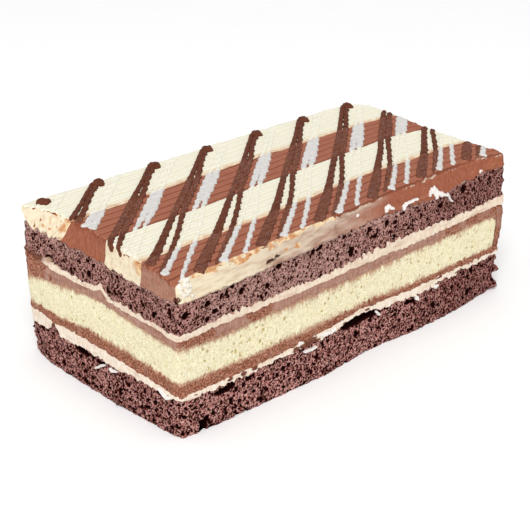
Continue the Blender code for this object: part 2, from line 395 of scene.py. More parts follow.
# A triangle's corners in the order that turns it over
TURNED_OVER = (1, 0, 2)


def grid_quads(rows, columns, closed):
    """Quads between neighbouring rows of a numbered grid. If closed, the last column joins the first."""
    number = np.arange(rows * columns).reshape(rows, columns)
    if closed:
        number = np.concatenate([number, number[:, :1]], axis=1)
    return np.stack([number[:-1, :-1], number[:-1, 1:], number[1:, 1:], number[1:, :-1]], -1).reshape(-1, 4)


def fan(ring, tip):
    """Triangles from a closed ring of numbered points to a tip."""
    return np.stack([ring, np.roll(ring, -1), np.full(len(ring), tip)], -1)


def tube(rings, tips):
    """Closed surface along rings of points, shaped (rings, stations, 3), with a fan to a tip at each end."""
    count, size = rings.shape[:2]
    quads = grid_quads(count, size, closed=True)[:, ::-1]
    first = np.arange(size)
    last = first + (count - 1) * size
    triangles = np.concatenate([fan(first, count * size), fan(last, count * size + 1)[:, TURNED_OVER]])
    return np.concatenate([rings.reshape(-1, 3), tips]), quads, triangles


def joined(shapes):
    """One shape out of several: (points, quads, triangles, shades), with the face numbers moved along."""
    starts = np.cumsum([0] + [len(shape[0]) for shape in shapes])
    points = np.concatenate([shape[0] for shape in shapes])
    quads = np.concatenate([shape[1] + start for shape, start in zip(shapes, starts)])
    triangles = np.concatenate([shape[2] + start for shape, start in zip(shapes, starts)])
    names = shapes[0][3].keys()
    shades = {name: np.concatenate([shape[3][name] for shape in shapes]) for name in names}
    return points, quads, triangles, shades


def put(name, data, matrix=None):
    """Puts an object into the scene, at the origin if no matrix is given."""
    made = bpy.data.objects.new(name, data)
    if matrix is not None:
        made.matrix_world = matrix
    bpy.context.scene.collection.objects.link(made)
    return made


def piece(name, shape, finish, nodes=()):
    """Makes a mesh object out of a shape, gives it its finish, hangs it under the root empty and hides the
    parts it replaces.
    """
    points, quads, triangles, shades = shape
    mesh = bpy.data.meshes.new(name)
    mesh.vertices.add(len(points))
    mesh.vertices.foreach_set("co", (points * MM).astype(np.float32).ravel())
    loops = np.concatenate([quads.ravel(), triangles.ravel()])
    starts = np.concatenate([np.arange(len(quads)) * 4, len(quads) * 4 + np.arange(len(triangles)) * 3])
    mesh.loops.add(len(loops))
    mesh.loops.foreach_set("vertex_index", loops.astype(np.int32))
    mesh.polygons.add(len(starts))
    mesh.polygons.foreach_set("loop_start", starts.astype(np.int32))
    for shade, values in shades.items():
        layer = mesh.attributes.new(shade, "FLOAT", "POINT")
        layer.data.foreach_set("value", values.astype(np.float32))
    mesh.update(calc_edges=True)
    mesh.shade_smooth()
    mesh.materials.append(finish)
    made = put(name, mesh)
    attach(made, "root")
    if nodes:
        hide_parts(*nodes)


def rim():
    """Slice coordinates of the stations round the cake, counter-clockwise from the near corner."""
    runs = []
    for count, (u0, v0), (u1, v1) in zip(RIM_STATIONS, RIM_CORNERS, RIM_CORNERS[1:] + RIM_CORNERS[:1]):
        share = np.arange(count) / count
        runs.append(np.stack([u0 + (u1 - u0) * share, v0 + (v1 - v0) * share]))
    return np.concatenate(runs, axis=1)


def cap(u, v, first, edge, height, reach):
    """Closes a shell's end with rings that each keep every second station, then a fan to the middle.

    edge holds the numbers of the wall's last row and first is the next free number. Returns the new
    points and the triangles, which face up.
    """
    points, triangles = [], []
    outer = edge
    for ring in CAP_RINGS:
        u, v = u[::2], v[::2]
        ring_u, ring_v = 0.5 + (u - 0.5) * ring, 0.5 + (v - 0.5) * ring
        points.append(footprint(ring_u * reach, ring_v, height(ring_u, ring_v)))
        inner = first + np.arange(len(u))
        first += len(u)
        here, there, after = outer[0::2], outer[1::2], np.roll(outer[0::2], -1)
        inner_after = np.roll(inner, -1)
        triangles += [
            np.stack([here, there, inner], -1),
            np.stack([there, inner_after, inner], -1),
            np.stack([there, after, inner_after], -1),
        ]
        outer = inner
    points.append(footprint(0.5, 0.5, height(np.array(0.5), np.array(0.5)))[None])
    triangles.append(fan(outer, first))
    return np.concatenate(points), np.concatenate(triangles)


def shell(lower, upper, rows, relief, reach=1.0):
    """Closed layer of the cake between two heights.

    Its wall stands on the rim's stations, in rows from lower(u, v) to upper(u, v). relief(u, v, place,
    share) gives how far each point stands out from the cut, in millimetres, and its shades. Rings
    close the bottom and the top. reach is the share of the slice's length that the layer covers.
    """
    u, v = rim()
    low, high = lower(u, v), upper(u, v)
    share = np.linspace(0, 1, rows)[:, None]
    wall = footprint(u * reach, v, low + (high - low) * share)
    wall_u, wall_v, wall_share = np.broadcast_arrays(u, v, share)
    pushed, shades = relief(wall_u, wall_v, wall, wall_share)
    wall = wall + outward(wall) * pushed[..., None]
    stations = len(u)
    size = rows * stations
    quads = grid_quads(rows, stations, closed=True)
    under_points, under_faces = cap(u, v, size, np.arange(stations), lower, reach)
    over_points, over_faces = cap(
        u, v, size + len(under_points), np.arange(size - stations, size), upper, reach
    )
    points = np.concatenate([wall.reshape(-1, 3), under_points, over_points])
    triangles = np.concatenate([under_faces[:, ::-1], over_faces])
    spare = len(points) - size
    shades = {name: np.concatenate([values.ravel(), np.zeros(spare)]) for name, values in shades.items()}
    return points, quads, triangles, shades


# ---------------------------------------------------------------- finishes

# How bright a white face in full light shows in this scene, with display white as 1
LIGHT_LEVEL = 1.2


def tint(red, green, blue):
    """Base colour that shows as a display colour, given in 0 to 255, in this scene's light."""
    share = np.array((red, green, blue)) / 255
    linear = np.where(share <= 0.04045, share / 12.92, ((share + 0.055) / 1.055) ** 2.4)
    return (*(linear / LIGHT_LEVEL).tolist(), 1.0)


class Value:
    """A number or colour that varies over a surface: one output of a shader node.

    Arithmetic on it adds Math nodes, so a formula is written as a Python expression.
    """

    def __init__(self, finish, output):
        self.finish = finish
        self.output = output

    def _math(self, operation, first, second):
        return self.finish.node("ShaderNodeMath", {"operation": operation}, {0: first, 1: second})

    def __add__(self, other):
        return self._math("ADD", self, other)

    __radd__ = __add__

    def __sub__(self, other):
        return self._math("SUBTRACT", self, other)

    def __rsub__(self, other):
        return self._math("SUBTRACT", other, self)

    def __mul__(self, other):
        return self._math("MULTIPLY", self, other)

    __rmul__ = __mul__

    def least(self, other):
        return self._math("MINIMUM", self, other)

    def most(self, other):
        return self._math("MAXIMUM", self, other)

    def step(self, low, high):
        """Smoothstep from 0 at low to 1 at high."""
        inputs = {"Value": self, "From Min": low, "From Max": high}
        return self.finish.node("ShaderNodeMapRange", {"interpolation_type": "SMOOTHSTEP"}, inputs)


class Finish:
    """A procedural material under construction."""

    def __init__(self, name):
        self.material = bpy.data.materials.new(name)
        self.material.use_nodes = True
        self.tree = self.material.node_tree
        self.tree.nodes.clear()
        self.place = self.node("ShaderNodeTexCoord", output="Object")

    def node(self, kind, settings=None, inputs=None, output=0):
        """Adds a node: its settings first, then the values or links of its sockets."""
        node = self.tree.nodes.new(kind)
        for name, value in (settings or {}).items():
            setattr(node, name, value)
        for name, value in (inputs or {}).items():
            if isinstance(value, Value):
                self.tree.links.new(value.output, node.inputs[name])
            else:
                node.inputs[name].default_value = value
        return Value(self, node.outputs[output]) if node.outputs else None

    def shades(self, *names):
        """Shades that the mesh stores at its points."""
        return [self.node("ShaderNodeAttribute", {"attribute_name": name}, output="Fac") for name in names]

    def stretched(self, x, y, z):
        """Object coordinates scaled along each axis, in features per metre."""
        settings = {"operation": "MULTIPLY"}
        return self.node("ShaderNodeVectorMath", settings, {0: self.place, 1: (x, y, z)})

    def grain(self, size, detail=3.0, rough=0.55, place=None):
        """Noise from 0 to 1 with features of about size millimetres."""
        inputs = {"Vector": place or self.place, "Scale": 1 / (size * MM)}
        inputs.update({"Detail": detail, "Roughness": rough})
        return self.node("ShaderNodeTexNoise", {}, inputs, "Fac")

    def wobbled(self, size, amount):
        """Object coordinates moved about by noise: size and amount in millimetres."""
        inputs = {"Vector": self.place, "Scale": 1 / (size * MM), "Detail": 1.0}
        shift = self.node("ShaderNodeTexNoise", {}, inputs, "Color")
        centred = self.node("ShaderNodeVectorMath", {"operation": "SUBTRACT"}, {0: shift, 1: (0.5,) * 3})
        moved = {0: centred, 1: (2 * amount * MM,) * 3, 2: self.place}
        return self.node("ShaderNodeVectorMath", {"operation": "MULTIPLY_ADD"}, moved)

    def bubbles(self, size, low, high):
        """Share from 0 to 1 of being inside a ragged bubble of a foam with cells of size millimetres."""
        inputs = {"Vector": self.wobbled(0.5 * size, 0.22 * size), "Scale": 1 / (size * MM)}
        return self.node("ShaderNodeTexVoronoi", {}, inputs, "Distance").step(high, low)

    def mix(self, share, first, second):
        """Colour between two colours."""
        settings = {"data_type": "RGBA", "clamp_factor": True}
        return self.node("ShaderNodeMix", settings, {0: share, 6: first, 7: second}, 2)

    def coats(self, colour, *coats):
        """Colours laid over the first one, each given with the share that it covers."""
        for share, coat in coats:
            colour = self.mix(share, colour, coat)
        return colour

    def bump(self, height, depth):
        """Normal that a height field of the given depth in millimetres makes."""
        inputs = {"Height": height, "Distance": depth * MM, "Strength": 1.0}
        return self.node("ShaderNodeBump", {}, inputs, "Normal")

    def surface(self, colour, roughness, sheen, **more):
        """Ends the material with a Principled shader."""
        inputs = {"Base Color": colour, "Roughness": roughness, "Specular IOR Level": sheen, **more}
        shader = self.node("ShaderNodeBsdfPrincipled", {}, inputs)
        self.node("ShaderNodeOutputMaterial", {}, {"Surface": shader})
        return self.material


# ---------------------------------------------------------------- sponges


def sponge_finish(name, light, middle, deep, dark, bubble_size):
    """Open chocolate crumb: pale walls, partly painted highlight; painted shade reddening into dark pores; a
    few pale specks.
    """
    finish = Finish(name)
    pore, smear, raw = finish.shades("pore", "smear", "raw")
    grain = finish.grain(0.7, 2.0, 0.6)
    speck = finish.grain(0.34, 1.0)
    patch = finish.grain(4.0, 2.0)
    small = (finish.bubbles(bubble_size, 0.26, 0.42) * (1.0 + raw * 0.8)).least(1.0)
    shut = 1.0 - 0.6 * smear
    tone = finish.coats(
        middle,
        # The light tone, laid by random grain, partly stands in for highlights on the cell walls: a painted
        # highlight
        (grain.step(0.42, 0.62), light),
        (grain.step(0.46, 0.3) * 0.8, deep),
        ((patch.step(0.42, 0.7) * 0.35 + raw * 0.45).least(0.8), finish.mix(0.75, middle, deep)),
        ((speck + smear * 0.2).step(0.59, 0.67) * 0.65, tint(230, 192, 180)),
        # Painted shade in the shader's bubbles and in the mesh's pores: deep red-brown at their rims, near
        # black inside
        ((small * 2.0).least(1.0) * shut, deep),
        ((small * 2.0 - 1.0).most(0.0) * shut, dark),
        (smear * (0.4 + speck * 0.5), tint(182, 148, 138)),
        (pore.step(0.0, 0.2), deep),
        (pore.step(0.15, 0.5), dark),
    )
    normal = finish.bump(grain * 0.4 + speck * 0.2 - small * 0.6, 0.4)
    return finish.surface(tone, 0.8, 0.05, Normal=normal)


def crumb_relief(seed, sizes, edge, smeared):
    """Relief of an open crumb: soft waves, ragged rims, holes, loose knobs and pores of several sizes.

    Each size of pore is given as its cell size, its least and largest radius and the share of cells
    that hold one. edge is how ragged the foot and the right-hand end are. smeared(u, v, place) gives
    where the knife smeared the crumb and closed its pores.
    """

    def relief(u, v, place, share):
        x, z = place[..., 0], place[..., 2]
        ragged = warped(place, 0.8, 0.36, seed)
        smear = smeared(u, v, place)
        raw = smooth(x + 6 * noise(place, 12.0, seed + 30), 10, 60) + 0.35 * (u < ON_SIDE)
        pits = np.maximum.reduce([pores(ragged, *size, seed + 10 + k) for k, size in enumerate(sizes)])
        pits = pits * (1 - 0.75 * smear)
        open_holes = holes(u, v, place)
        crumbs = 0.28 * fractal(place, 2.4, seed + 20) + 0.12 * noise(place, 0.6, seed + 21)
        torn = np.clip(noise(place, 3.0, seed + 22), 0, 1)
        rim_drop = edge * np.exp(-z / 0.7) * (0.3 + torn) * (share < 0.5)
        corner = np.minimum(np.abs(u), np.abs(1 - u)) * LENGTH
        corner = corner + np.minimum(np.abs(v), np.abs(1 - v)) * WIDTH
        wild = 1 + 2 * edge * smooth(x, 76, 84)
        chips = 1.1 * wild * np.clip(noise(place, 2.2, seed + 23), 0, 1) * np.exp(-corner / 1.5)
        knobs = 0.9 * wild * pores(ragged, 2.9, (0.4, 1.1), 0.5, seed + 24) * np.exp(-corner / 3.0)
        shred = np.clip(noise(place, (3.4, 3.4, 1.7), seed + 25) - 0.05, 0, 1)
        shred = shred * smooth(x, 78, 84)
        knobs = knobs + 6.0 * edge * shred * np.exp(-corner / 2.6)
        depth = np.maximum(1.25 * pits, open_holes)
        # Painted shade: pores and holes darken the deeper they go
        dark = np.clip(np.maximum(pits / 0.42, open_holes / 0.8), 0, 1)
        pushed = crumbs + knobs - depth - rim_drop - chips
        return pushed, {"pore": dark, "smear": smear, "raw": np.clip(raw, 0, 1)}

    return relief


def unsmeared(u, v, place):
    """A crumb that no cream was dragged over."""
    return np.zeros(np.shape(u))


def smeared_by_icing(u, v, place):
    """Icing dragged over the crumb: a haze below the icing, far down the left two thirds of the front."""
    below = seam("icing_under", u, v) - place[..., 2]
    cloud = 0.5 + 0.5 * fractal(place, (9.0, 9.0, 2.5), 350, 2)
    reach = 0.6 + 3.4 * cloud * (v < ON_SIDE) * smooth(u, 0.74, 0.56) * smooth(u, 0.12, 0.3)
    reach = reach + (1.2 + 2.4 * smooth(place[..., 1], 2, 26)) * cloud * (u < ON_SIDE)
    haze = np.exp(-np.clip(below, 0, 30) / reach)
    dull = 0.45 * (v < ON_SIDE) * smooth(u, 0.62, 0.4) * smooth(u, 0.02, 0.12) * (0.4 + 0.6 * cloud)
    return np.clip(np.maximum(haze, dull), 0, 1)


def make_dark_sponges():
    """The base sponge, coarse and reddish, and the finer, greyer one under the icing."""
    base_finish = sponge_finish(
        "base_crumb", tint(218, 168, 159), tint(155, 91, 83), tint(88, 31, 24), tint(28, 3, 2), 0.9
    )
    base_edge = cut_edge("white_low_under", 0.2, 0.35, 0.25)
    base_pores = (3.9, (0.65, 1.25), 0.45), (1.8, (0.42, 0.84), 0.9), (1.02, (0.25, 0.47), 0.9)
    base_relief = crumb_relief(200, base_pores, 0.9, unsmeared)
    base = shell(lambda u, v: np.zeros(np.shape(u)), base_edge, BASE_ROWS, base_relief)
    piece("sponge_base", base, base_finish, ["sponge_bottom"])
    top_finish = sponge_finish(
        "top_crumb", tint(202, 153, 144), tint(156, 106, 97), tint(94, 40, 32), tint(31, 5, 3), 0.87
    )
    top_pores = (3.9, (0.6, 1.2), 0.45), (1.85, (0.36, 0.76), 0.8), (1.1, (0.25, 0.46), 0.8)
    top_relief = crumb_relief(300, top_pores, 0.0, smeared_by_icing)
    lower = cut_edge("white_high_over", -0.3, 0.35, 0.3)
    top = shell(lower, cut_edge("icing_under", 0.4, 0.4, 0.2), SPONGE_ROWS, top_relief)
    piece("sponge_under_icing", top, top_finish, ["sponge_top"])


def pale_finish():
    """Fine yellow crumb with painted shade in its small pores, which turn tan, stained brown along the
    creams.
    """
    finish = Finish("pale_crumb")
    pore, stain = finish.shades("pore", "stain")
    grain = finish.grain(0.55, 2.0, 0.6)
    patch = finish.grain(5.0, 2.0)
    streak = finish.grain(0.6, 2.0, place=finish.stretched(1.0, 1.0, 0.22))
    speck = finish.grain(0.5, 1.0)
    small = finish.bubbles(1.0, 0.2, 0.42)
    brown = finish.mix(streak.step(0.35, 0.65), tint(164, 116, 96), tint(210, 168, 138))
    tone = finish.coats(
        tint(241, 226, 183),
        # The lightest tone, laid by random grain, partly stands in for highlights: a painted highlight
        (grain.step(0.38, 0.6), tint(255, 250, 220)),
        (patch.step(0.4, 0.7) * 0.3, tint(247, 236, 190)),
        # Painted shade: the shader's small bubbles and the mesh's pores turn tan
        (small * 0.3, tint(226, 208, 154)),
        (pore.step(0.05, 0.8) * 0.85, tint(192, 170, 104)),
        ((speck + stain * 0.2).step(0.7, 0.76) * 0.7, tint(150, 100, 62)),
        ((stain * (0.1 + streak * 1.8)).step(0.2, 0.75), brown),
    )
    return finish.surface(tone, 0.8, 0.08, Normal=finish.bump(grain * 0.5 - small * 0.5, 0.2))


def pale_relief(u, v, place, share):
    """Relief of the close pale crumb, with the browning that the creams leave at its two edges."""
    ragged = warped(place, 0.8, 0.2, 400)
    pits = pores(ragged, 1.9, (0.3, 0.64), 0.75, 401)
    pits = np.maximum(pits, pores(ragged, 4.2, (0.45, 0.85), 0.4, 402))
    pits = pits * np.where(u < ON_SIDE, 0.6, 1.0)
    crumbs = 0.18 * fractal(place, 2.2, 403) + 0.06 * noise(place, 0.5, 404)
    above = place[..., 2] - seam("pale_under", u, v)
    below = seam("pale_over", u, v) - place[..., 2]
    uneven = 0.5 + 0.5 * noise(place, (2.2, 2.2, 9.0), 405)
    fine = 0.5 + 0.5 * noise(place, (0.6, 0.6, 4.0), 406)
    dragged = 1 + 1.3 * (v < ON_SIDE) * smooth(place[..., 0], -60, -30) * smooth(place[..., 0], 50, 20)
    reach = np.minimum(0.7 + 4.0 * uneven * fine * dragged, 3.0)
    stain = np.exp(-np.clip(below, 0, 20) / reach) + np.exp(-np.clip(above, 0, 20) / (0.7 * reach))
    # The pore shade is painted shade: deeper pits are darker
    return crumbs - 0.8 * pits, {"pore": np.clip(pits / 0.45, 0, 1), "stain": np.clip(stain, 0, 1)}


def make_pale_sponge():
    """The yellow sponge, which stops short of the right-hand end."""
    lower = cut_edge("pale_under", -0.4, 0.2, 0.2)
    upper = cut_edge("pale_over", 0.5, 0.3, 0.3)
    shape = shell(lower, upper, SPONGE_ROWS, pale_relief, END_SHARE - GAP / LENGTH)
    piece("sponge_pale", shape, pale_finish(), ["sponge_middle"])


# ---------------------------------------------------------------- creams


def cream_finish(name, light, middle, deep, marked):
    """Soft cream: upright smears from the knife, small dimples, a second colour where it's marked, and
    painted shade in recesses.
    """
    finish = Finish(name)
    hollow, mark = finish.shades("hollow", "mark")
    streak = finish.grain(0.9, 3.0, place=finish.stretched(1.0, 1.0, 0.3))
    drag = finish.grain(2.2, 3.0, place=finish.stretched(0.25, 0.25, 1.3))
    grain = finish.grain(0.5, 2.0)
    tone = finish.coats(
        middle,
        (streak.step(0.35, 0.65), light),
        (drag.step(0.5, 0.75) * 0.6, deep),
        ((mark + (streak - 0.5) * 0.5).step(0.2, 0.8), finish.mix(grain.step(0.4, 0.62), *marked)),
        # Painted shade in holes and where the cream tucks in at its edges
        (hollow, deep),
    )
    normal = finish.bump(streak * 0.6 + grain * 0.4, 0.25)
    return finish.surface(tone, 0.6 + 0.15 * grain, 0.12, Normal=normal)


def cream_relief(seed, proud, marks, crumbly):
    """Relief of a soft cream: a little proud of the crumb, dragged by the knife, tucked in at its edges.

    marks(u, v, place) gives where it shows its second colour. crumbly is how rough it is there.
    """

    def relief(u, v, place, share):
        waves = 0.22 * fractal(place, 3.2, seed) + 0.1 * noise(place, (0.8, 0.8, 3.0), seed + 1)
        ends = np.clip(1 - np.minimum(share, 1 - share) / 0.08, 0, 1)
        open_holes = holes(u, v, place)
        mark = marks(u, v, place)
        crumbs = crumbly * mark * fractal(place, 1.3, seed + 2)
        pushed = proud + waves + crumbs - 1.3 * ends**2 - open_holes
        # Painted shade: holes, and the edges where the cream tucks in, darken
        return pushed, {"hollow": np.clip(open_holes / 0.8 + 0.3 * ends, 0, 1), "mark": np.clip(mark, 0, 1)}

    return relief


# How brown the upper chocolate cream is along X on the front cut and along Y on the left cut
UPPER_BROWN_FRONT = (
    (-84, 0.9), (-70, 0.8), (-66, 0.1), (-53, 0.2), (-50, 0.9), (-43, 0.8), (-38, 0), (36, 0),
    (52, 0.65),
)
UPPER_BROWN_LEFT = ((-43, 0.3), (-30, 0.0), (28, 0.1), (33, 0.9))


def upper_brown(u, v, place):
    """Where the upper chocolate cream is brown and crumbly, not dragged pale: in spots on both cuts."""
    astray = 4.5 * fractal(place, 2.8, 695, 2)
    on_front = profile(UPPER_BROWN_FRONT, place[..., 0] + astray)
    on_left = profile(UPPER_BROWN_LEFT, place[..., 1] + astray)
    blotch = 0.35 * fractal(place, 2.4, 690, 2)
    return np.where(v < ON_SIDE, on_front, np.where(u < ON_SIDE, on_left, 0.9)) + blotch


def lower_brown(u, v, place):
    """The lower chocolate cream is brown and crumbly nearly everywhere."""
    return 0.85 + 0.4 * fractal(place, 2.6, 691, 2)


def bare_spots(u, v, place):
    """Where the lower white cream is scraped off: a gap and worn spots in front, a wedge on the left."""
    x, y, z = np.moveaxis(place, -1, 0)
    gap = smooth(x, -36, -32) * smooth(x, -18, -23) * (v < ON_SIDE)
    wedge = smooth(2.6 - np.abs(y - 26.5) - 0.5 * (z - 15.5), 0, 0.8) * (u < ON_SIDE)
    scraped = gap * (0.75 + 0.8 * noise(place, (2.0, 2.0, 0.8), 692)) + wedge
    worn = noise(place, (3.0, 3.0, 1.2), 693) + 0.1 * smooth(x, -20, -50) - 0.2 * smooth(x, 10, 36)
    return scraped + smooth(worn, 0.3, 0.6) * 0.8 * (v < ON_SIDE)


def buried_corner(u, v, place):
    """Where the upper white cream is buried under chocolate cream, at the back of the left cut."""
    return smooth(place[..., 1], 30, 36) * (u < ON_SIDE) + 0.2 * noise(place, 2.0, 694)


def make_creams():
    """Two pairs of creams. The lower edge of one follows the upper edge of the next."""
    soil = (tint(134, 84, 66), tint(98, 52, 38))
    brown = (tint(118, 61, 39), tint(194, 136, 110))
    white = cream_finish(
        "white_buttercream", tint(250, 233, 213), tint(238, 214, 190), tint(205, 166, 140), soil
    )
    bright = cream_finish(
        "bright_buttercream", tint(255, 243, 226), tint(244, 224, 202), tint(212, 176, 150), soil
    )
    chocolate = cream_finish(
        "chocolate_cream", tint(190, 148, 132), tint(168, 122, 104), tint(136, 88, 70), brown
    )
    over_pale = cut_edge("pale_over", -0.3, 0.3, 0.7)
    under_pale = cut_edge("pale_under", 0.2, 0.25, 0.45)

    def column_foot(u, v):
        """The cream's lower edge: over the pale sponge, and down past its right-hand end."""
        rounded = 2.6 * smooth(u, END_SHARE - 0.022, END_SHARE) ** 2
        return np.where(u > END_SHARE, under_pale(u, v), over_pale(u, v) - rounded)

    spikes = ((0, 1.0), (0.35, 1.2), (0.5, 1.6), (0.55, 3.4), (0.7, 3.0), (0.76, 1.0), (1, 0.6))
    layers = (
        (
            ("cream_white_lower", bright, "white_cream", "cream_lower_white"),
            cut_edge("white_low_under", -0.15, 0.45, 0.7),
            cut_edge("white_low_over", 0.25, 0.3, 0.35),
            (16, cream_relief(600, 0.35, bare_spots, 0.3)),
        ),
        (
            ("cream_chocolate_lower", chocolate, "chocolate_cream", "cream_lower_chocolate"),
            cut_edge("white_low_over", -0.3, 0.3, 0.3),
            cut_edge("pale_under", 0.0, 0.25, 0.5, ((0, 2.2), (1, 2.5))),
            (18, cream_relief(620, 0.15, lower_brown, 0.4)),
        ),
        (
            ("cream_chocolate_upper", chocolate, "chocolate_cream", "cream_upper_chocolate"),
            column_foot,
            cut_edge("white_high_under", 0.3, 0.3, 0.3),
            (30, cream_relief(640, 0.2, upper_brown, 0.5)),
        ),
        (
            ("cream_white_upper", white, "white_cream", "cream_upper_white"),
            cut_edge("white_high_under", -0.25, 0.3, 0.3),
            cut_edge("white_high_over", 0.1, 0.35, 0.6, spikes),
            (16, cream_relief(660, 0.4, buried_corner, 0.3)),
        ),
    )
    # Each cream: what it is, its lower edge, its upper edge, and its rows with its relief
    for (name, finish, slot, node), lower, upper, (rows, relief) in layers:
        piece(name, shell(lower, upper, rows, relief), finish, [node])


# ---------------------------------------------------------------- icing


def comb_groove(u, v):
    """Share of the groove's depth, from 0 on a crest to 1 in the middle of a deep groove.

    The ridges run along u. A cosine of the ridge pitch gives each groove, a cosine of twice the pitch
    deepens every second one, and noise stretched along u makes them wander.
    """
    flat = places(u * LENGTH, v * WIDTH)
    ridge = v * WIDTH / RIDGE_PITCH + 0.16 * noise(flat, (14.0, 3.0, 1.0), 700)
    groove = (0.5 + 0.5 * np.cos(2 * math.pi * ridge)) ** 1.2
    deep = groove * (0.5 + 0.5 * np.cos(math.pi * ridge)) ** 2
    return (GROOVE * groove + DEEP_GROOVE * deep) / (GROOVE + DEEP_GROOVE)


def icing_height(u, v):
    """Height of the combed top: crests less grooves, small tears, and a torn edge all round.

    The edge is tight, and the knife left burrs on it where noise 1.4 mm wide is positive.
    """
    flat = places(u * LENGTH, v * WIDTH)
    comb = (GROOVE + DEEP_GROOVE) * comb_groove(u, v)
    tears = 0.06 * fractal(flat, (1.6, 0.7, 1.0), 710) + 0.14 * noise(flat, 9.0, 712)
    edge = np.minimum(np.minimum(u, 1 - u) * LENGTH, np.minimum(v, 1 - v) * WIDTH)
    radius = 0.5 + 0.3 * noise(flat, 3.5, 714)
    rounding = radius - np.sqrt(radius**2 - np.clip(radius - edge, 0, radius) ** 2)
    burr = 0.65 * np.clip(noise(flat, 1.4, 715) + 0.15, 0, 1) * np.exp(-edge / 0.7)
    shoulder = 0.7 * np.clip(1 - v * WIDTH / 4, 0, 1) * np.clip(u - 0.4, 0, 1)
    shoulder = shoulder + 1.8 * np.exp(-((u * LENGTH / 5.5) ** 2) - (v * WIDTH / 4.5) ** 2)
    return HEIGHT - comb * smooth(edge, 0, 1.2) + tears - 0.1 - rounding + burr - shoulder


def slanted(u, v, drop):
    """Shares v down the left cut: the back chocolate stripe slid under the ivory one before it set."""
    slide = 0.07 * np.exp(-(((v - 0.745) / 0.1) ** 2)) * (u < ON_SIDE)
    return v + slide * drop


def stripe(near_edge, far_edge, relief, last_u=1.0):
    """One closed stripe of icing: a combed top grid, walls that hang from its border, and a fan below.

    near_edge and far_edge give the stripe's sides as functions of u. The walls on the slice's own sides
    follow the footprint and get the relief; those against the next stripe are plain. last_u is where
    the stripe ends.
    """
    columns = max(6, int((far_edge(0.0) - near_edge(0.0)) * WIDTH / ICING_STEP_ACROSS))
    along = np.linspace(0, last_u, int(LENGTH * last_u / ICING_STEP_ALONG))
    share = np.linspace(0, 1, columns)
    u = np.broadcast_to(along[:, None], (len(along), columns))
    near, far = near_edge(along)[:, None], far_edge(along)[:, None]
    v = near + (far - near) * share
    top = footprint(u, v, icing_height(u, v))
    number = np.arange(u.size).reshape(u.shape)
    loop = np.concatenate([number[:-1, 0], number[-1, :-1], number[:0:-1, -1], number[0, :0:-1]])
    loop_u, loop_v = u.ravel()[loop], v.ravel()[loop]
    brink = top.reshape(-1, 3)[loop]
    foot = cut_edge("icing_under", -0.5, 0.4, 0.55)(loop_u, loop_v)
    foot = foot + 5.0 * np.exp(-((1 - loop_v) * WIDTH / 2.6) ** 2) * np.exp(-loop_u * LENGTH / 4.0)
    lobes = np.sqrt(np.clip(noise(places(loop_u, loop_v * WIDTH), 2.4, 770), 0, 1))
    foot = foot - 1.1 * lobes * (loop_u < ON_SIDE) * smooth(loop_v, 0.2, 0.4)
    drop = np.linspace(0, 1, ICING_WALL_ROWS + 1)[1:, None]
    height = brink[:, 2] + (foot - brink[:, 2]) * drop
    wall = footprint(loop_u, slanted(loop_u, loop_v, drop), height)
    wall_u, wall_v, wall_drop = np.broadcast_arrays(loop_u, loop_v, drop)
    outer = (loop_u < ON_SIDE) | (loop_u > 1 - ON_SIDE) | (loop_v < ON_SIDE) | (loop_v > 1 - ON_SIDE)
    pushed, wall_shades = relief(wall_u, wall_v, wall, wall_drop)
    wall = wall + outward(wall) * (pushed * outer * smooth(drop, 0, 0.12))[..., None]
    loops = np.concatenate([brink[None], wall])
    hung = grid_quads(len(loops), len(loop), closed=True)[:, ::-1]
    names = np.concatenate([loop, u.size + np.arange(wall[..., 0].size)])
    quads = np.concatenate([grid_quads(*u.shape, closed=False)[:, ::-1], names[hung]])
    last = names[-len(loop) :]
    middle = footprint(last_u / 2, np.mean(v), np.mean(foot))[None]
    points = np.concatenate([top.reshape(-1, 3), wall.reshape(-1, 3), middle])
    triangles = fan(last, len(points) - 1)[:, TURNED_OVER]
    _, top_shades = relief(u, v, top, np.zeros(u.shape))
    top_shades["wall"] = np.zeros(u.shape)
    wall_shades["wall"] = smooth(wall_drop, 0, 0.1)
    shades = {
        name: np.concatenate([top_shades[name].ravel(), wall_shades[name].ravel(), [0.0]])
        for name in top_shades
    }
    return points, quads, triangles, shades


# The glazed front cut, along X: how far the glaze reaches below the rim, how much it covers, and how
# far down its orange crust comes
GLAZE_REACH = (
    (-88, 12), (-47, 12), (-40, 9.0), (-30, 8.2), (-18, 6.8), (-6, 4.6), (5, 2.8), (14, 1.6), (24, 0.5),
)
GLAZE_COVER = (
    (-88, 1), (-70, 0.95), (-48, 0.8), (-38, 0.68), (-28, 0.6), (-15, 0.54), (0, 0.5), (12, 0.42),
    (24, 0),
)
CRUST_REACH = (
    (-82, -1), (-76, 1.2), (-60, 1.6), (-46, 1.5), (-37, 2.2), (-27, 3.0), (-18, 2.0), (-8, 0.8),
    (0, -1),
)


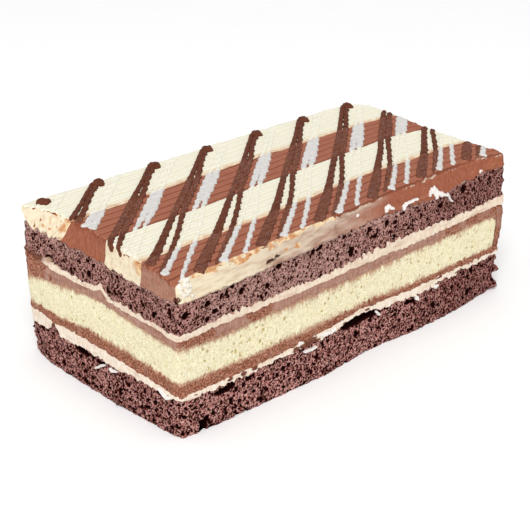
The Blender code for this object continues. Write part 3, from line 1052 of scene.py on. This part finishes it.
def icing_finish(name, crest, groove, wall):
    """Combed satin icing: paler crests and grooves darkened as painted shade, a knife-cut side, tan crusts,
    rusty rims and painted shade in holes.

    The shade for the glaze and the painted rim highlight blends the cut from chocolate at 0 over a greyish
    beige at 0.5 to cream at 1.
    """
    finish = Finish(name)
    comb, side_share, glaze = finish.shades("comb", "wall", "glaze")
    crust, rust, hollow = finish.shades("crust", "rust", "hollow")
    grain = finish.grain(0.5, 3.0)
    patch = finish.grain(5.0, 3.0)
    baked = finish.grain(2.6, 2.0, 0.5)
    streak = finish.grain(0.8, 3.0, place=finish.stretched(1.0, 1.0, 0.25))
    scratch = finish.grain(0.5, 2.0, place=finish.stretched(0.15, 1.0, 1.0))
    drag = finish.grain(1.6, 4.0, place=finish.stretched(0.2, 1.0, 1.0))
    misty = finish.mix(drag.step(0.4, 0.65), tint(216, 192, 172), tint(178, 144, 126))
    pale = finish.mix(drag.step(0.42, 0.68) * 0.8, tint(251, 237, 206), tint(231, 205, 171))
    orange = finish.mix(baked.step(0.42, 0.66), tint(214, 146, 90), tint(251, 222, 176))
    cut = finish.coats(
        wall,
        (streak.step(0.36, 0.7) * 0.8, tint(142, 80, 57)),
        (drag.step(0.56, 0.74) * 0.5, tint(194, 134, 108)),
        # The glaze shade, which also carries the painted rim highlight, turns the cut misty, then pale
        ((glaze * 2.0).least(1.0), misty),
        ((glaze * 2.0 - 1.0).most(0.0), pale),
    )
    tone = finish.coats(
        crest,
        # Painted shade: the comb's grooves take the groove tone by their depth
        ((comb * 0.9 + scratch * 0.5 - 0.25).step(0.0, 1.0), groove),
        (patch.step(0.45, 0.75) * 0.2, groove),
        (side_share, cut),
        ((crust * (0.6 + patch * 0.8)).step(0.1, 0.9) * 0.95, orange),
        ((rust * (0.4 + grain)).step(0.3, 0.7), tint(140, 72, 46)),
        # Painted shade in the holes that the knife opened
        (hollow * (0.5 + grain), tint(74, 36, 22)),
    )
    normal = finish.bump(grain * 0.6 + streak * 0.4, 0.16)
    return finish.surface(tone, 0.45 + 0.15 * grain, 0.12, Normal=normal)


def icing_relief(ivory, near_edge, tuck=1.3):
    """Relief of the cut side of the icing and the shades of one stripe, ivory or chocolate.

    tuck is how far its foot turns in over the sponge, in millimetres.
    """

    def relief(u, v, place, drop):
        waves = 0.2 * fractal(place, 4.0, 760) + 0.07 * noise(place, (0.7, 0.7, 4.0), 761)
        foot = 0.3 * smooth(drop, 0.75, 1.0) - tuck * smooth(drop, 0.94, 1.0)
        open_holes = holes(u, v, place)
        x, z = place[..., 0], place[..., 2]
        below = np.clip(HEIGHT - z, 0, 60)
        on_front, on_left, on_top = (v < ON_SIDE) & (drop > 0), (u < ON_SIDE) & (drop > 0), drop == 0
        cloud = noise(place, (5.0, 5.0, 1.6), 740)
        spots = noise(place, (3.2, 3.2, 2.4), 741)
        fine = noise(place, 0.9, 742)
        glazed = profile(GLAZE_COVER, x) * smooth(profile(GLAZE_REACH, x) + 1.6 * cloud - below, -2.0, 2.0)
        down = 7.0 * drop
        torn = smooth(x, -12, 0) * smooth(spots + 0.3 * fine, 0.05, 0.3)
        torn = np.maximum(torn, smooth(x, -30, -12) * smooth(x, 12, 6))
        # Painted highlight: a thin pale line along the torn rim of the front cut, carried in the glaze shade
        rim_highlight = 0.8 * smooth(0.7 + 0.5 * fine - down, 0, 0.4) * torn
        haze = 0.42 * smooth(x, -54, -42) * smooth(x, 22, -12) * (0.85 + 0.4 * cloud)
        dusty = 0.14 * (1 - ivory) * on_left * (v < 0.25)
        glaze = np.where(on_front, np.maximum(np.maximum(glazed, haze), rim_highlight), ivory + dusty)
        reach = profile(CRUST_REACH, x) * (0.8 + 1.3 * spots)
        front_crust = on_front * smooth(reach - down + 0.3, 0, 1.2)
        away = (v - near_edge(u)) * WIDTH
        margin = np.exp(-((away / np.clip(3.4 + 1.1 * cloud, 1.8, 4.8)) ** 2)) * (away > -0.1) * ivory
        margin = np.where(v * WIDTH < 3, 1.2 * ivory * on_top * smooth(x, -80, -76), margin)
        freckles = smooth(noise(place, (1.2, 1.2, 1.8), 743) + 0.3 * cloud, 0.46, 0.66)
        freckles = freckles * smooth(v, 0.3, 0.95) * ivory
        rounded = 1.3 * margin * smooth(6.5 + 2 * spots - below, 0, 3)
        left_crust = on_left * (rounded + 0.8 * freckles + 0.6 * ivory * smooth(1.0 + spots - below, 0, 1))
        crust = front_crust + 0.6 * margin * on_top + left_crust
        front_rust = on_front * smooth(0.35 + 0.7 * fine - down, 0, 0.4)
        front_rust = front_rust * smooth(x, -78, -74) * smooth(x, -16, -24)
        left_rust = smooth(0.55 + 0.9 * fine + 0.5 * spots - down, 0, 0.4)
        browned = 0.55 * (1 - ivory) * smooth(3.4 + 1.6 * spots + fine - down, 0, 2.6)
        left_rust = on_left * np.maximum(left_rust, browned)
        rust = front_rust + 0.9 * left_rust + 0.9 * on_left * freckles * smooth(fine, 0.1, 0.4)
        shades = {
            # How deep the comb's groove is, for the painted shade in the grooves
            "comb": comb_groove(u, v),
            "glaze": glaze,
            "crust": np.clip(crust, 0, 1),
            "rust": np.clip(rust, 0, 1),
            # Painted shade in the holes, darker the deeper they are
            "hollow": np.clip(open_holes / 0.6, 0, 1),
        }
        return 0.25 + waves + foot - np.minimum(open_holes, 0.55), shades

    return relief


def make_icing():
    """Ivory and chocolate stripes side by side, and the thin ivory wedge on the long cut side."""
    # Tones of each icing: crests, grooves (painted shade) and cut side
    ivory = icing_finish("ivory_icing", tint(251, 247, 227), tint(235, 227, 198), tint(171, 101, 75))
    chocolate = icing_finish("chocolate_icing", tint(176, 109, 84), tint(128, 68, 46), tint(171, 101, 75))
    front, middle, back = (border(points) for points in STRIPE_BORDERS)

    def even(value):
        return lambda u: np.full(np.shape(u), value)

    def wedge_side(u):
        return profile(WEDGE_WIDTH, u)

    def behind_wedge(u):
        return np.where(u <= WEDGE_END, wedge_side(u), 0.0)

    zero, one = even(0.0), even(1.0)
    wedge = stripe(zero, wedge_side, icing_relief(1, zero, 0.3), WEDGE_END)
    piece("icing_wedge", wedge, ivory, ["icing_ivory_edge"])
    lines = (
        ("icing_chocolate_1", behind_wedge, front, chocolate, "chocolate_icing", "icing_chocolate_front"),
        ("icing_ivory_1", front, middle, ivory, "ivory_icing", "icing_ivory_front"),
        ("icing_chocolate_2", middle, back, chocolate, "chocolate_icing", "icing_chocolate_back"),
        ("icing_ivory_2", back, one, ivory, "ivory_icing", "icing_ivory_back"),
    )
    for name, near, far, finish, slot, node in lines:
        shape = stripe(near, far, icing_relief(int(finish is ivory), near))
        piece(name, shape, finish, [node])


# ---------------------------------------------------------------- drizzle

# Course of a drizzle line over the icing: (millimetres in front of its turn at the back edge, X from it)
DRIZZLE_COURSE = ((0, 0), (19.8, -21.7), (34.2, -37.8), (45.8, -50.6), (65.8, -72.8), (90.0, -101.0))
DRIZZLE_PITCH = 26.8
FIRST_TURN = -80.3
TURN_Y = 43.6
# Both edges of each strand, along X from the course: (millimetres in front of the turn, left, right)
DARK_LEFT = (
    (0, -3.3, -0.2), (14, -3.3, -0.2), (18, -3.5, -0.4), (22, -3.8, 0.2), (33, -4.0, 0.4),
    (41, -4.4, -0.6), (46, -4.5, -0.9), (57, -5.0, -0.9), (66, -5.9, -0.8), (70, -6.7, -0.8),
    (78, -7.5, -1.3), (90, -8.6, -2.4),
)
DARK_RIGHT = (
    (0, -0.6, 2.5), (8, -0.8, 2.1), (14, -0.5, 2.7), (18, 0.1, 3.2), (22, 0.0, 3.8), (33, -0.2, 4.0),
    (41, -0.2, 3.6), (46, 0.6, 3.7), (53, 1.7, 4.5), (61, 2.2, 5.1), (70, 1.9, 4.8), (78, 1.7, 3.6),
    (90, 1.8, 3.2),
)
WHITE_LEFT = (
    (0, 7.3, 10.0), (15, 7.0, 9.9), (19, 7.0, 9.6), (20, 6.8, 8.9), (21.5, 6.5, 9.0), (22.5, 6.4, 10.2),
    (24, 6.1, 10.4), (34, 5.8, 10.4), (39, 5.8, 9.6), (44, 6.0, 8.4), (62, 5.8, 7.9), (70, 5.0, 8.0),
    (78, 4.3, 7.5), (83, 3.7, 7.4), (90, 3.4, 7.2),
)
WHITE_RIGHT = (
    (0, 9.3, 11.9), (15, 9.3, 12.0), (19, 9.5, 12.0), (20, 10.1, 12.3), (21.5, 10.0, 12.8),
    (22.5, 9.3, 13.2), (24, 9.2, 13.6), (34, 9.2, 13.8), (40, 9.6, 13.2), (44, 10.4, 12.5),
    (62, 12.4, 14.6), (70, 12.7, 15.5), (78, 13.1, 15.6), (90, 13.6, 15.6),
)
# How high the strands stand: (millimetres in front of the turn, height)
DARK_CROWN = ((0, 0.75), (19, 0.7), (24, 0.5), (40, 0.45), (46, 0.65), (62, 0.65), (68, 0.4))
WHITE_CROWN = ((0, 0.25), (19, 0.25), (22, 0.5), (43, 0.5), (46, 0.25), (61, 0.25), (64, 0.5))
DRIZZLE_LINES = 10
LINES_THAT_TURN = 7  # the others turn past the right-hand end
TOOTH_PITCH = 4.2
HALF_FILL = 0.34  # half width of a strand as a share of the distance between its two edges
STATION_Y = 0.3  # distance between a strand's cross-sections along Y
STATION_STEP = 0.42  # and, about, along its course
FEWEST_STATIONS = 12


def drape(x, y, lift):
    """Places on the icing for level coordinates, lifted off its surface.

    Past an edge of the top the surface goes on down the side, as far as the point lies outside.
    """
    u, v = slice_coordinates(x, y, HEIGHT)
    over_x = np.maximum(-u, u - 1).clip(0) * LENGTH
    over_y = np.maximum(-v, v - 1).clip(0) * WIDTH
    over = np.hypot(over_x, over_y)
    held_u, held_v = np.clip(u, 0, 1), np.clip(v, 0, 1)
    place = footprint(held_u, held_v, icing_height(held_u, held_v) - over)
    turned = smooth(over, 0, 0.9)
    out = places(np.sign(u - 0.5) * (over_x > 0), np.sign(v - 0.5) * (over_y > 0))
    up = np.zeros(place.shape)
    up[..., 2] = 1
    direction = up * (1 - turned)[..., None] + out * turned[..., None]
    length = np.linalg.norm(direction, axis=-1, keepdims=True)
    return place + direction / np.maximum(length, 1e-6) * np.asarray(lift)[..., None]


def on_chocolate(x, y):
    """Share from 0 to 1 of lying on a chocolate stripe."""
    u, v = slice_coordinates(x, y, HEIGHT)
    front, middle, back = ((v - border(points)(u)) * WIDTH for points in STRIPE_BORDERS)
    return smooth(front, 0.4, -0.4) + smooth(middle, -0.4, 0.4) * smooth(back, 0.4, -0.4)


def strand(course, left, right, crown, seed, lay=drape, lumpy=0.22):
    """A closed strand of set drizzle that lies on a surface: lay(a, b, lift) gives a place on it.

    course holds points of its plan, and left and right are the distances of the two edges from it. The
    cross-section is a low crown, crown * (1 - |2a - 1|^3)^0.6 across the shares a, over an underside
    sunk a little into the surface. Both ends close in a fan.
    """
    along = np.gradient(course, axis=0)
    along = along / np.linalg.norm(along, axis=1, keepdims=True)
    sideways = np.stack([along[:, 1], -along[:, 0]], axis=-1)
    top_share = np.linspace(0, 1, 11)
    low_share = np.array((0.93, 0.5, 0.07))
    share = np.concatenate([top_share, low_share])
    offset = -left[:, None] + (left + right)[:, None] * share
    plan = course[:, None] + sideways[:, None] * offset[..., None]
    swell = np.clip(1 - np.abs(2 * top_share - 1) ** 3, 0, 1) ** 0.6
    rough = 1 + lumpy * fractal(places(plan[..., 0], plan[..., 1]), 0.9, seed)
    lift = np.concatenate([crown[:, None] * swell, np.full((len(course), len(low_share)), -0.3)], axis=1)
    lift = np.where(lift > 0, lift * rough, lift)
    rings = lay(plan[..., 0], plan[..., 1], lift)
    soaked = on_chocolate(plan[..., 0], plan[..., 1]) if lay is drape else 0 * plan[..., 0]
    shades = {"rough": 4 * (rough - 1), "soaked": soaked}
    shades = {name: np.append(values, (0, 0)) for name, values in shades.items()}
    return *tube(rings, rings[[0, -1]].mean(axis=1)), shades


def tooth(y, seed):
    """Sawtooth across the comb's ridges: an edge that widens towards the front, then steps back."""
    phase = -y / TOOTH_PITCH + 0.22 * noise(places(y, seed), 6.0, seed)
    return 0.62 * (phase % 1 - 0.5) + 0.34 * ((2 * phase + 0.3) % 1 - 0.5)


def rounded_ends(count, step, reach):
    """Factor that closes a strand's ends in half-ellipses reach millimetres long."""
    at = np.minimum(np.arange(count), np.arange(count)[::-1]) * step
    return np.sqrt(np.clip(1 - np.clip(1 - at / reach, 0, 1) ** 2, 0.02, 1))


def lay_strand(turn_x, edges, crown, teeth, seed, over_left, blob=0.0):
    """One strand of a line that turns at turn_x, where it lies on the top, or nothing if it's too short.

    edges gives both its edges along the course, and teeth how strongly each follows the comb. crown is
    the profile of its height. It ends over_left millimetres past the left edge. blob widens its front
    end.
    """
    away = np.arange(-0.4, 90, STATION_Y)
    at, left, right = zip(*edges)
    left, right = np.interp(away, at, left), np.interp(away, at, right)
    x = turn_x + profile(DRIZZLE_COURSE, away)
    x = x + 0.4 * noise(places(away, turn_x), 12.0, seed)
    course = np.stack([x + (left + right) / 2, TURN_Y - away], axis=-1)
    u, v = slice_coordinates(course[:, 0], course[:, 1], HEIGHT)
    kept = (u * LENGTH > -over_left) & ((1 - u) * LENGTH > 0.2)
    kept = kept & (v * WIDTH > 0.5) & ((1 - v) * WIDTH > -0.9)
    if kept.sum() < FEWEST_STATIONS:
        return []
    course, half = course[kept], HALF_FILL * (right - left)[kept]
    ends = rounded_ends(len(course), STATION_STEP, 1.3)
    from_end = np.arange(len(course))[::-1] * STATION_STEP
    swollen = 1 + blob * np.exp(-(((from_end - 1.2) / 1.2) ** 2))
    low = np.clip(half - teeth[0] * tooth(course[:, 1], seed + 5), 0.25, 9) * ends * swollen
    high = np.clip(half + teeth[1] * tooth(course[:, 1], seed + 1), 0.25, 9) * ends * swollen
    # Looking along the course, from the back to the front, the left-hand edge is at higher x
    return [strand(course, high, low, profile(crown, away[kept]) * ends, seed + 40, lumpy=0.2)]


def turn_drop(place, heading, half_length, seed):
    """The drop that a dark line leaves where it turns at the back edge: its outline is a squarish oval."""
    along = np.linspace(-half_length, half_length, 26)
    course = np.array(place) + along[:, None] * np.array(heading)
    swell = np.sqrt(np.clip(1 - np.abs(along / (1.02 * half_length)) ** 5, 0.01, 1))
    ragged = 1 + 0.06 * noise(places(along, place[0]), 1.5, seed)
    return strand(course, 2.45 * swell * ragged, 2.3 * swell, 1.3 * swell, seed, lumpy=0.12)


def drizzle_finish(name, tones, ground, bump_depth, see_through, sheen, on_ivory=None):
    """Set drizzle: smooth with a soft sheen, dull and speckled where it roughened, thin on chocolate,
    painted shade at the back.

    tones are its light, its usual and its dark colour. see_through is how much of the ground shows
    where it lies on chocolate, and on_ivory is the colour that it takes on an ivory stripe, if that's
    another one.
    """
    light, usual, dark = tones
    finish = Finish(name)
    rough, soaked = finish.shades("rough", "soaked")
    grain = finish.grain(0.45, 3.0, 0.65)
    patch = finish.grain(3.0, 2.0)
    ridges = finish.grain(0.9, 2.0, place=finish.stretched(0.3, 1.0, 1.0))
    sugar = finish.grain(0.38, 1.0)
    y = finish.node("ShaderNodeSeparateXYZ", {}, {"Vector": finish.place}, "Y")
    # Painted shade on the far side of the drops past the back edge: dark, and ivory for white strands on
    # ivory
    back_shade = y.step(42.8 * MM, 44.4 * MM)
    over_ivory = [((1.0 - soaked) * 0.95, on_ivory)] if on_ivory else []
    colour = finish.coats(
        usual,
        (grain.step(0.35, 0.7), light),
        ((patch + rough * 0.25).step(0.55, 0.85) * 0.6, dark),
        (soaked * (ridges * 0.6 + grain * 0.4).step(0.4, 0.56) * see_through, ground),
        *over_ivory,
        (back_shade * 0.7, finish.mix(soaked, on_ivory or dark, dark)),
        (soaked * sugar.step(0.62, 0.72) * 0.7, tint(202, 178, 168)),
    )
    return finish.surface(colour, 0.36 + 0.25 * patch, sheen, Normal=finish.bump(grain, bump_depth))


def make_drizzle():
    """Dark and white lines over the whole top. The white ones hardly show on the ivory stripes."""
    dark_tones = tint(120, 65, 42), tint(97, 48, 30), tint(60, 28, 17)
    dark_finish = drizzle_finish("dark_drizzle", dark_tones, tint(142, 84, 62), 0.14, 0.45, 0.12)
    white_tones = tint(241, 239, 236), tint(227, 225, 221), tint(203, 198, 196)
    white_finish = drizzle_finish(
        "white_drizzle", white_tones, tint(190, 180, 176), 0.1, 0.2, 0.25, tint(251, 246, 226)
    )
    dark, white = [], []
    for count in range(DRIZZLE_LINES):
        turn, seed = FIRST_TURN + DRIZZLE_PITCH * count + 1.6 * (count == 0), 800 + 20 * count
        over_left = 2.8 if count == 2 else 0.3
        if count == 0:
            dark.append(turn_drop((turn - 0.9, TURN_Y - 3.2), (0.45, -0.89), 2.6, 900))
        else:
            dark += lay_strand(turn, DARK_LEFT, DARK_CROWN, (0.3, 0.8), seed, over_left)
            dark += lay_strand(turn, DARK_RIGHT, DARK_CROWN, (0.6, 1.0), seed + 1, over_left)
        if 0 < count < LINES_THAT_TURN:
            dark.append(turn_drop((turn - 0.5, TURN_Y - 1.5), (-0.55, -0.84), 2.8, 900 + count))
        white += lay_strand(turn, WHITE_LEFT, WHITE_CROWN, (1.0, 0.9), seed + 200, -0.2, 0.45)
        white += lay_strand(turn, WHITE_RIGHT, WHITE_CROWN, (0.8, 1.1), seed + 201, -0.2, 0.2)
    piece("drizzle_dark", joined(dark), dark_finish)
    piece("drizzle_white", joined(white), white_finish)
    scrap_tones = tint(255, 250, 246), tint(246, 238, 232), tint(226, 214, 206)
    bright = drizzle_finish("white_scraps", scrap_tones, tint(220, 205, 200), 0.1, 0.2, 0.2)
    make_scraps("white_scraps", SCRAPS, bright)
    make_scraps("cream_flakes", FLAKES, bright)
    make_scraps("cream_flakes_left", LEFT_FLAKES, bright, left_cut)


# ---------------------------------------------------------------- fragments and crumbs

# Scraps of white sugar that the knife pushed down the front cut: (X, Z, half width) along each scrap
SCRAPS = (
    ((17.1, 53.6, 0.35), (18.1, 54.7, 0.9), (19.9, 55.0, 0.8), (21.3, 54.2, 0.6), (22.3, 53.8, 0.3)),
    (
        (27.0, 51.7, 0.3), (27.8, 53.0, 0.75), (29.0, 53.7, 0.6), (31.8, 53.6, 0.5), (34.3, 53.8, 0.5),
        (36.5, 53.5, 0.3),
    ),
    ((42.6, 52.6, 0.25), (43.4, 53.8, 0.35), (44.0, 55.0, 0.25)),
    ((44.4, 55.3, 0.7), (45.6, 54.2, 1.6), (46.8, 53.0, 2.2), (48.0, 52.0, 1.2)),
    ((47.4, 52.6, 1.2), (49.6, 51.8, 0.9), (51.8, 51.0, 0.6), (53.6, 50.5, 0.4)),
    ((52.9, 51.6, 0.25), (53.7, 49.8, 0.45), (54.6, 48.0, 0.55), (55.9, 47.2, 0.3)),
    ((72.9, 54.0, 0.2), (73.9, 54.9, 0.5), (74.9, 54.7, 0.25)),
    ((1.6, 56.4, 0.2), (2.4, 56.9, 0.4), (3.1, 57.1, 0.2)),
)
# Flakes of cream that hang off the lower white cream
FLAKES = (
    ((-28.5, 13.4, 0.25), (-26.0, 12.9, 0.6), (-23.4, 13.0, 0.5), (-21.4, 13.4, 0.25)),
    ((-31.0, 16.4, 0.2), (-29.6, 17.4, 0.5), (-27.8, 17.2, 0.3)),
    ((32.4, 15.4, 0.4), (33.4, 13.9, 0.8), (34.0, 12.6, 0.4)),
    ((43.0, 15.6, 0.5), (44.6, 14.7, 0.8), (46.0, 15.5, 0.4)),
    ((10.6, 15.6, 0.6), (12.2, 14.2, 0.6), (13.0, 13.2, 0.3)),
    ((-20.6, 17.2, 0.3), (-17.6, 16.4, 0.9), (-14.0, 16.2, 0.8), (-11.0, 16.8, 0.5)),
)
# The same on the left cut: (Y, Z, half width)
LEFT_FLAKES = (
    ((-4.8, 13.8, 0.3), (-2.0, 12.2, 0.5), (1.0, 10.2, 0.3)),
    ((-7.0, 13.6, 0.3), (-9.0, 13.0, 0.6), (-11.6, 13.8, 0.3)),
    ((-33.0, 16.6, 0.3), (-35.0, 15.6, 0.8), (-37.4, 14.4, 0.7), (-39.4, 14.8, 0.3)),
)
# Lumps of white cream: (X, Y, Z, radius)
CREAM_LUMPS = (
    (-81.3, -43.2, 59.0, 1.1), (-80.2, -43.4, 59.3, 0.9), (-82.6, -42.9, 57.3, 1.3),
    (-80.7, -43.3, 57.6, 1.4), (-79.4, -43.5, 57.3, 0.9), (-82.4, -42.9, 55.6, 1.3),
    (-80.6, -43.3, 55.9, 1.5), (-79.2, -43.5, 55.6, 0.9), (-81.6, -43.1, 54.2, 1.1),
    (-80.2, -43.3, 54.4, 0.9), (-82.0, -43.0, 52.9, 0.7), (-78.2, -43.6, 53.2, 0.6),
)
SCRAP_LIFT = 0.25  # moves a scrap out, so that its underside lies just inside the cut
LUMP_RINGS = 10
LUMP_STATIONS = 16
LOOSE_CRUMBS = 64


def front_cut(x, z, lift):
    """Places that stand out from the long cut side by lift and SCRAP_LIFT."""
    u, _ = slice_coordinates(x, np.full(np.shape(x), -WIDTH / 2), z)
    place = footprint(u, 0.0, z)
    place[..., 1] -= lift + SCRAP_LIFT
    return place


def left_cut(y, z, lift):
    """Places that stand out from the left cut side by lift and SCRAP_LIFT."""
    _, v = slice_coordinates(np.full(np.shape(y), -LENGTH / 2), y, z)
    place = footprint(0.0, v, z)
    place[..., 0] -= lift + SCRAP_LIFT
    return place


def make_scraps(name, lines, finish, cut=front_cut):
    """Scraps stuck to a cut side: short strands with ragged edges."""
    shapes = []
    for count, line in enumerate(lines):
        line = np.array(line)
        step = np.concatenate([[0], np.cumsum(np.hypot(*np.diff(line[:, :2], axis=0).T))])
        at = np.arange(0, step[-1], 0.2)
        x, z, half = (np.interp(at, step, line[:, axis]) for axis in range(3))
        ragged = [half * (1 + 0.5 * noise(places(at, 0, k), 0.7, 950 + count)) for k in (0, 5)]
        ends = rounded_ends(len(at), 0.2, 0.5)
        shapes.append(
            strand(np.stack([x, z], -1), ragged[0] * ends, ragged[1] * ends, 0.8 * ends, 960 + count, cut)
        )
    piece(name, joined(shapes), finish)


def lump(centre, radius, seed):
    """A crumb: a ball of rings, dented by fractal noise of about its radius's size."""
    rise = np.linspace(0, math.pi, LUMP_RINGS + 2)[1:-1, None]
    turn = np.linspace(0, 2 * math.pi, LUMP_STATIONS, endpoint=False)
    level = np.sin(rise)
    ball = places(level * np.cos(turn), level * np.sin(turn), np.cos(rise)).reshape(-1, 3)
    ball = np.concatenate([ball, ((0, 0, 1.0), (0, 0, -1.0))])
    dents = 1 + 0.34 * fractal(ball * radius + centre, radius * 0.8, seed)
    points = centre + ball * radius * dents[:, None]
    return *tube(points[:-2].reshape(LUMP_RINGS, LUMP_STATIONS, 3), points[-2:]), {}


def crumbly_finish(name, size, low, high, tones, roughness, sheen):
    """Crumb of two tones, blended and dented by one grain."""
    finish = Finish(name)
    grain = finish.grain(size, 3.0, 0.6)
    tone = finish.mix(grain.step(low, high), *tones)
    return finish.surface(tone, roughness, sheen, Normal=finish.bump(grain, 0.3))


def make_lumps():
    """Crumbly white cream at the near corner, and loose dark crumbs round the cake's sides."""
    cream_tones = tint(236, 212, 186), tint(255, 250, 238)
    cream = crumbly_finish("crumbly_cream", 1.3, 0.32, 0.55, cream_tones, 0.7, 0.1)
    lumps = [lump(np.array(spot[:3]), spot[3], 970 + k) for k, spot in enumerate(CREAM_LUMPS)]
    piece("cream_lumps", joined(lumps), cream)
    dark_tones = tint(52, 18, 12), tint(150, 104, 96)
    dark = crumbly_finish("loose_crumb", 0.6, 0.35, 0.65, dark_tones, 0.85, 0.05)
    chance = np.random.default_rng(7).random((LOOSE_CRUMBS, 4))
    crumbs = []
    for k, (along, level, size, which) in enumerate(chance.tolist()):
        height = (1.4 + 10 * level) if k % 2 else (43.5 + 7 * level)
        u, v = ((0.0, along), (along, 0.0), (1.0, along), (along, 1.0))[int(4 * which)]
        out = np.array(((u == 1.0) - (u == 0.0), (v == 1.0) - (v == 0.0), 0))
        place = footprint(u, v, height) + 0.2 * out
        crumbs.append(lump(place, 0.35 + 0.5 * size**2, 990 + k))
    piece("loose_crumbs", joined(crumbs), dark)


# ---------------------------------------------------------------- stage

CAMERA_TARGET = Vector((-0.00693, 0.0, 0.02546))
CAMERA_AZIMUTH = math.radians(-42.04)
CAMERA_ELEVATION = math.radians(25.79)
CAMERA_DISTANCE = 0.5075
CAMERA_LENS = 88.3
CAMERA_CLIP_START = 0.01
FLOOR_RADIUS = 4.0
FLOOR_CORNERS = 64
SURROUNDINGS_LIGHT = 0.7
KEY_PLACE = Vector((-1.38, -1.42, 2.34))
KEY_SIZE = 1.3
KEY_POWER = 58.0


def make_camera():
    """Camera on a sphere round its target, level, looking at it."""
    turn, rise = CAMERA_AZIMUTH, CAMERA_ELEVATION
    level = math.cos(rise)
    backwards = Vector((math.sin(turn) * level, -math.cos(turn) * level, math.sin(rise)))
    rightwards = Vector((math.cos(turn), math.sin(turn), 0))
    upwards = backwards.cross(rightwards)
    camera = bpy.data.cameras.new("camera")
    camera.lens = CAMERA_LENS
    camera.clip_start = CAMERA_CLIP_START
    aim = Matrix((rightwards, upwards, backwards)).transposed().to_4x4()
    place = Matrix.Translation(CAMERA_TARGET + backwards * CAMERA_DISTANCE)
    bpy.context.scene.camera = put("camera", camera, place @ aim)


def make_floor():
    """Wide pale floor: one face with many corners on a circle."""
    finish = Finish("pale_floor")
    tone = finish.mix(finish.grain(40.0, 2.0), (0.94, 0.94, 0.94, 1), (0.96, 0.96, 0.96, 1))
    turn = np.linspace(0, 2 * math.pi, FLOOR_CORNERS, endpoint=False)
    edge = places(np.cos(turn), np.sin(turn)) * FLOOR_RADIUS
    mesh = bpy.data.meshes.new("floor")
    mesh.from_pydata(edge.tolist(), [], [list(range(FLOOR_CORNERS))])
    mesh.materials.append(finish.surface(tone, 0.9, 0.1))
    floor = put("floor", mesh)


def make_light():
    """One large square soft light, high up on the camera's side, that looks at the cake."""
    light = bpy.data.lights.new("key_light", "AREA")
    light.size = KEY_SIZE
    light.energy = KEY_POWER
    aim = (KEY_PLACE - CAMERA_TARGET).to_track_quat("Z", "Y").to_matrix().to_4x4()
    put("key_light", light, Matrix.Translation(KEY_PLACE) @ aim)


def make_surroundings():
    """Even white light from all round."""
    world = bpy.data.worlds.new("studio")
    bpy.context.scene.world = world
    world.use_nodes = True
    background = world.node_tree.nodes["Background"]
    background.inputs["Color"].default_value = (1, 1, 1, 1)
    background.inputs["Strength"].default_value = SURROUNDINGS_LIGHT


bpy.context.scene.view_settings.view_transform = "Standard"
make_surroundings()
make_floor()
make_light()
make_camera()
make_dark_sponges()
make_pale_sponge()
make_creams()
make_icing()
make_drizzle()
make_lumps()
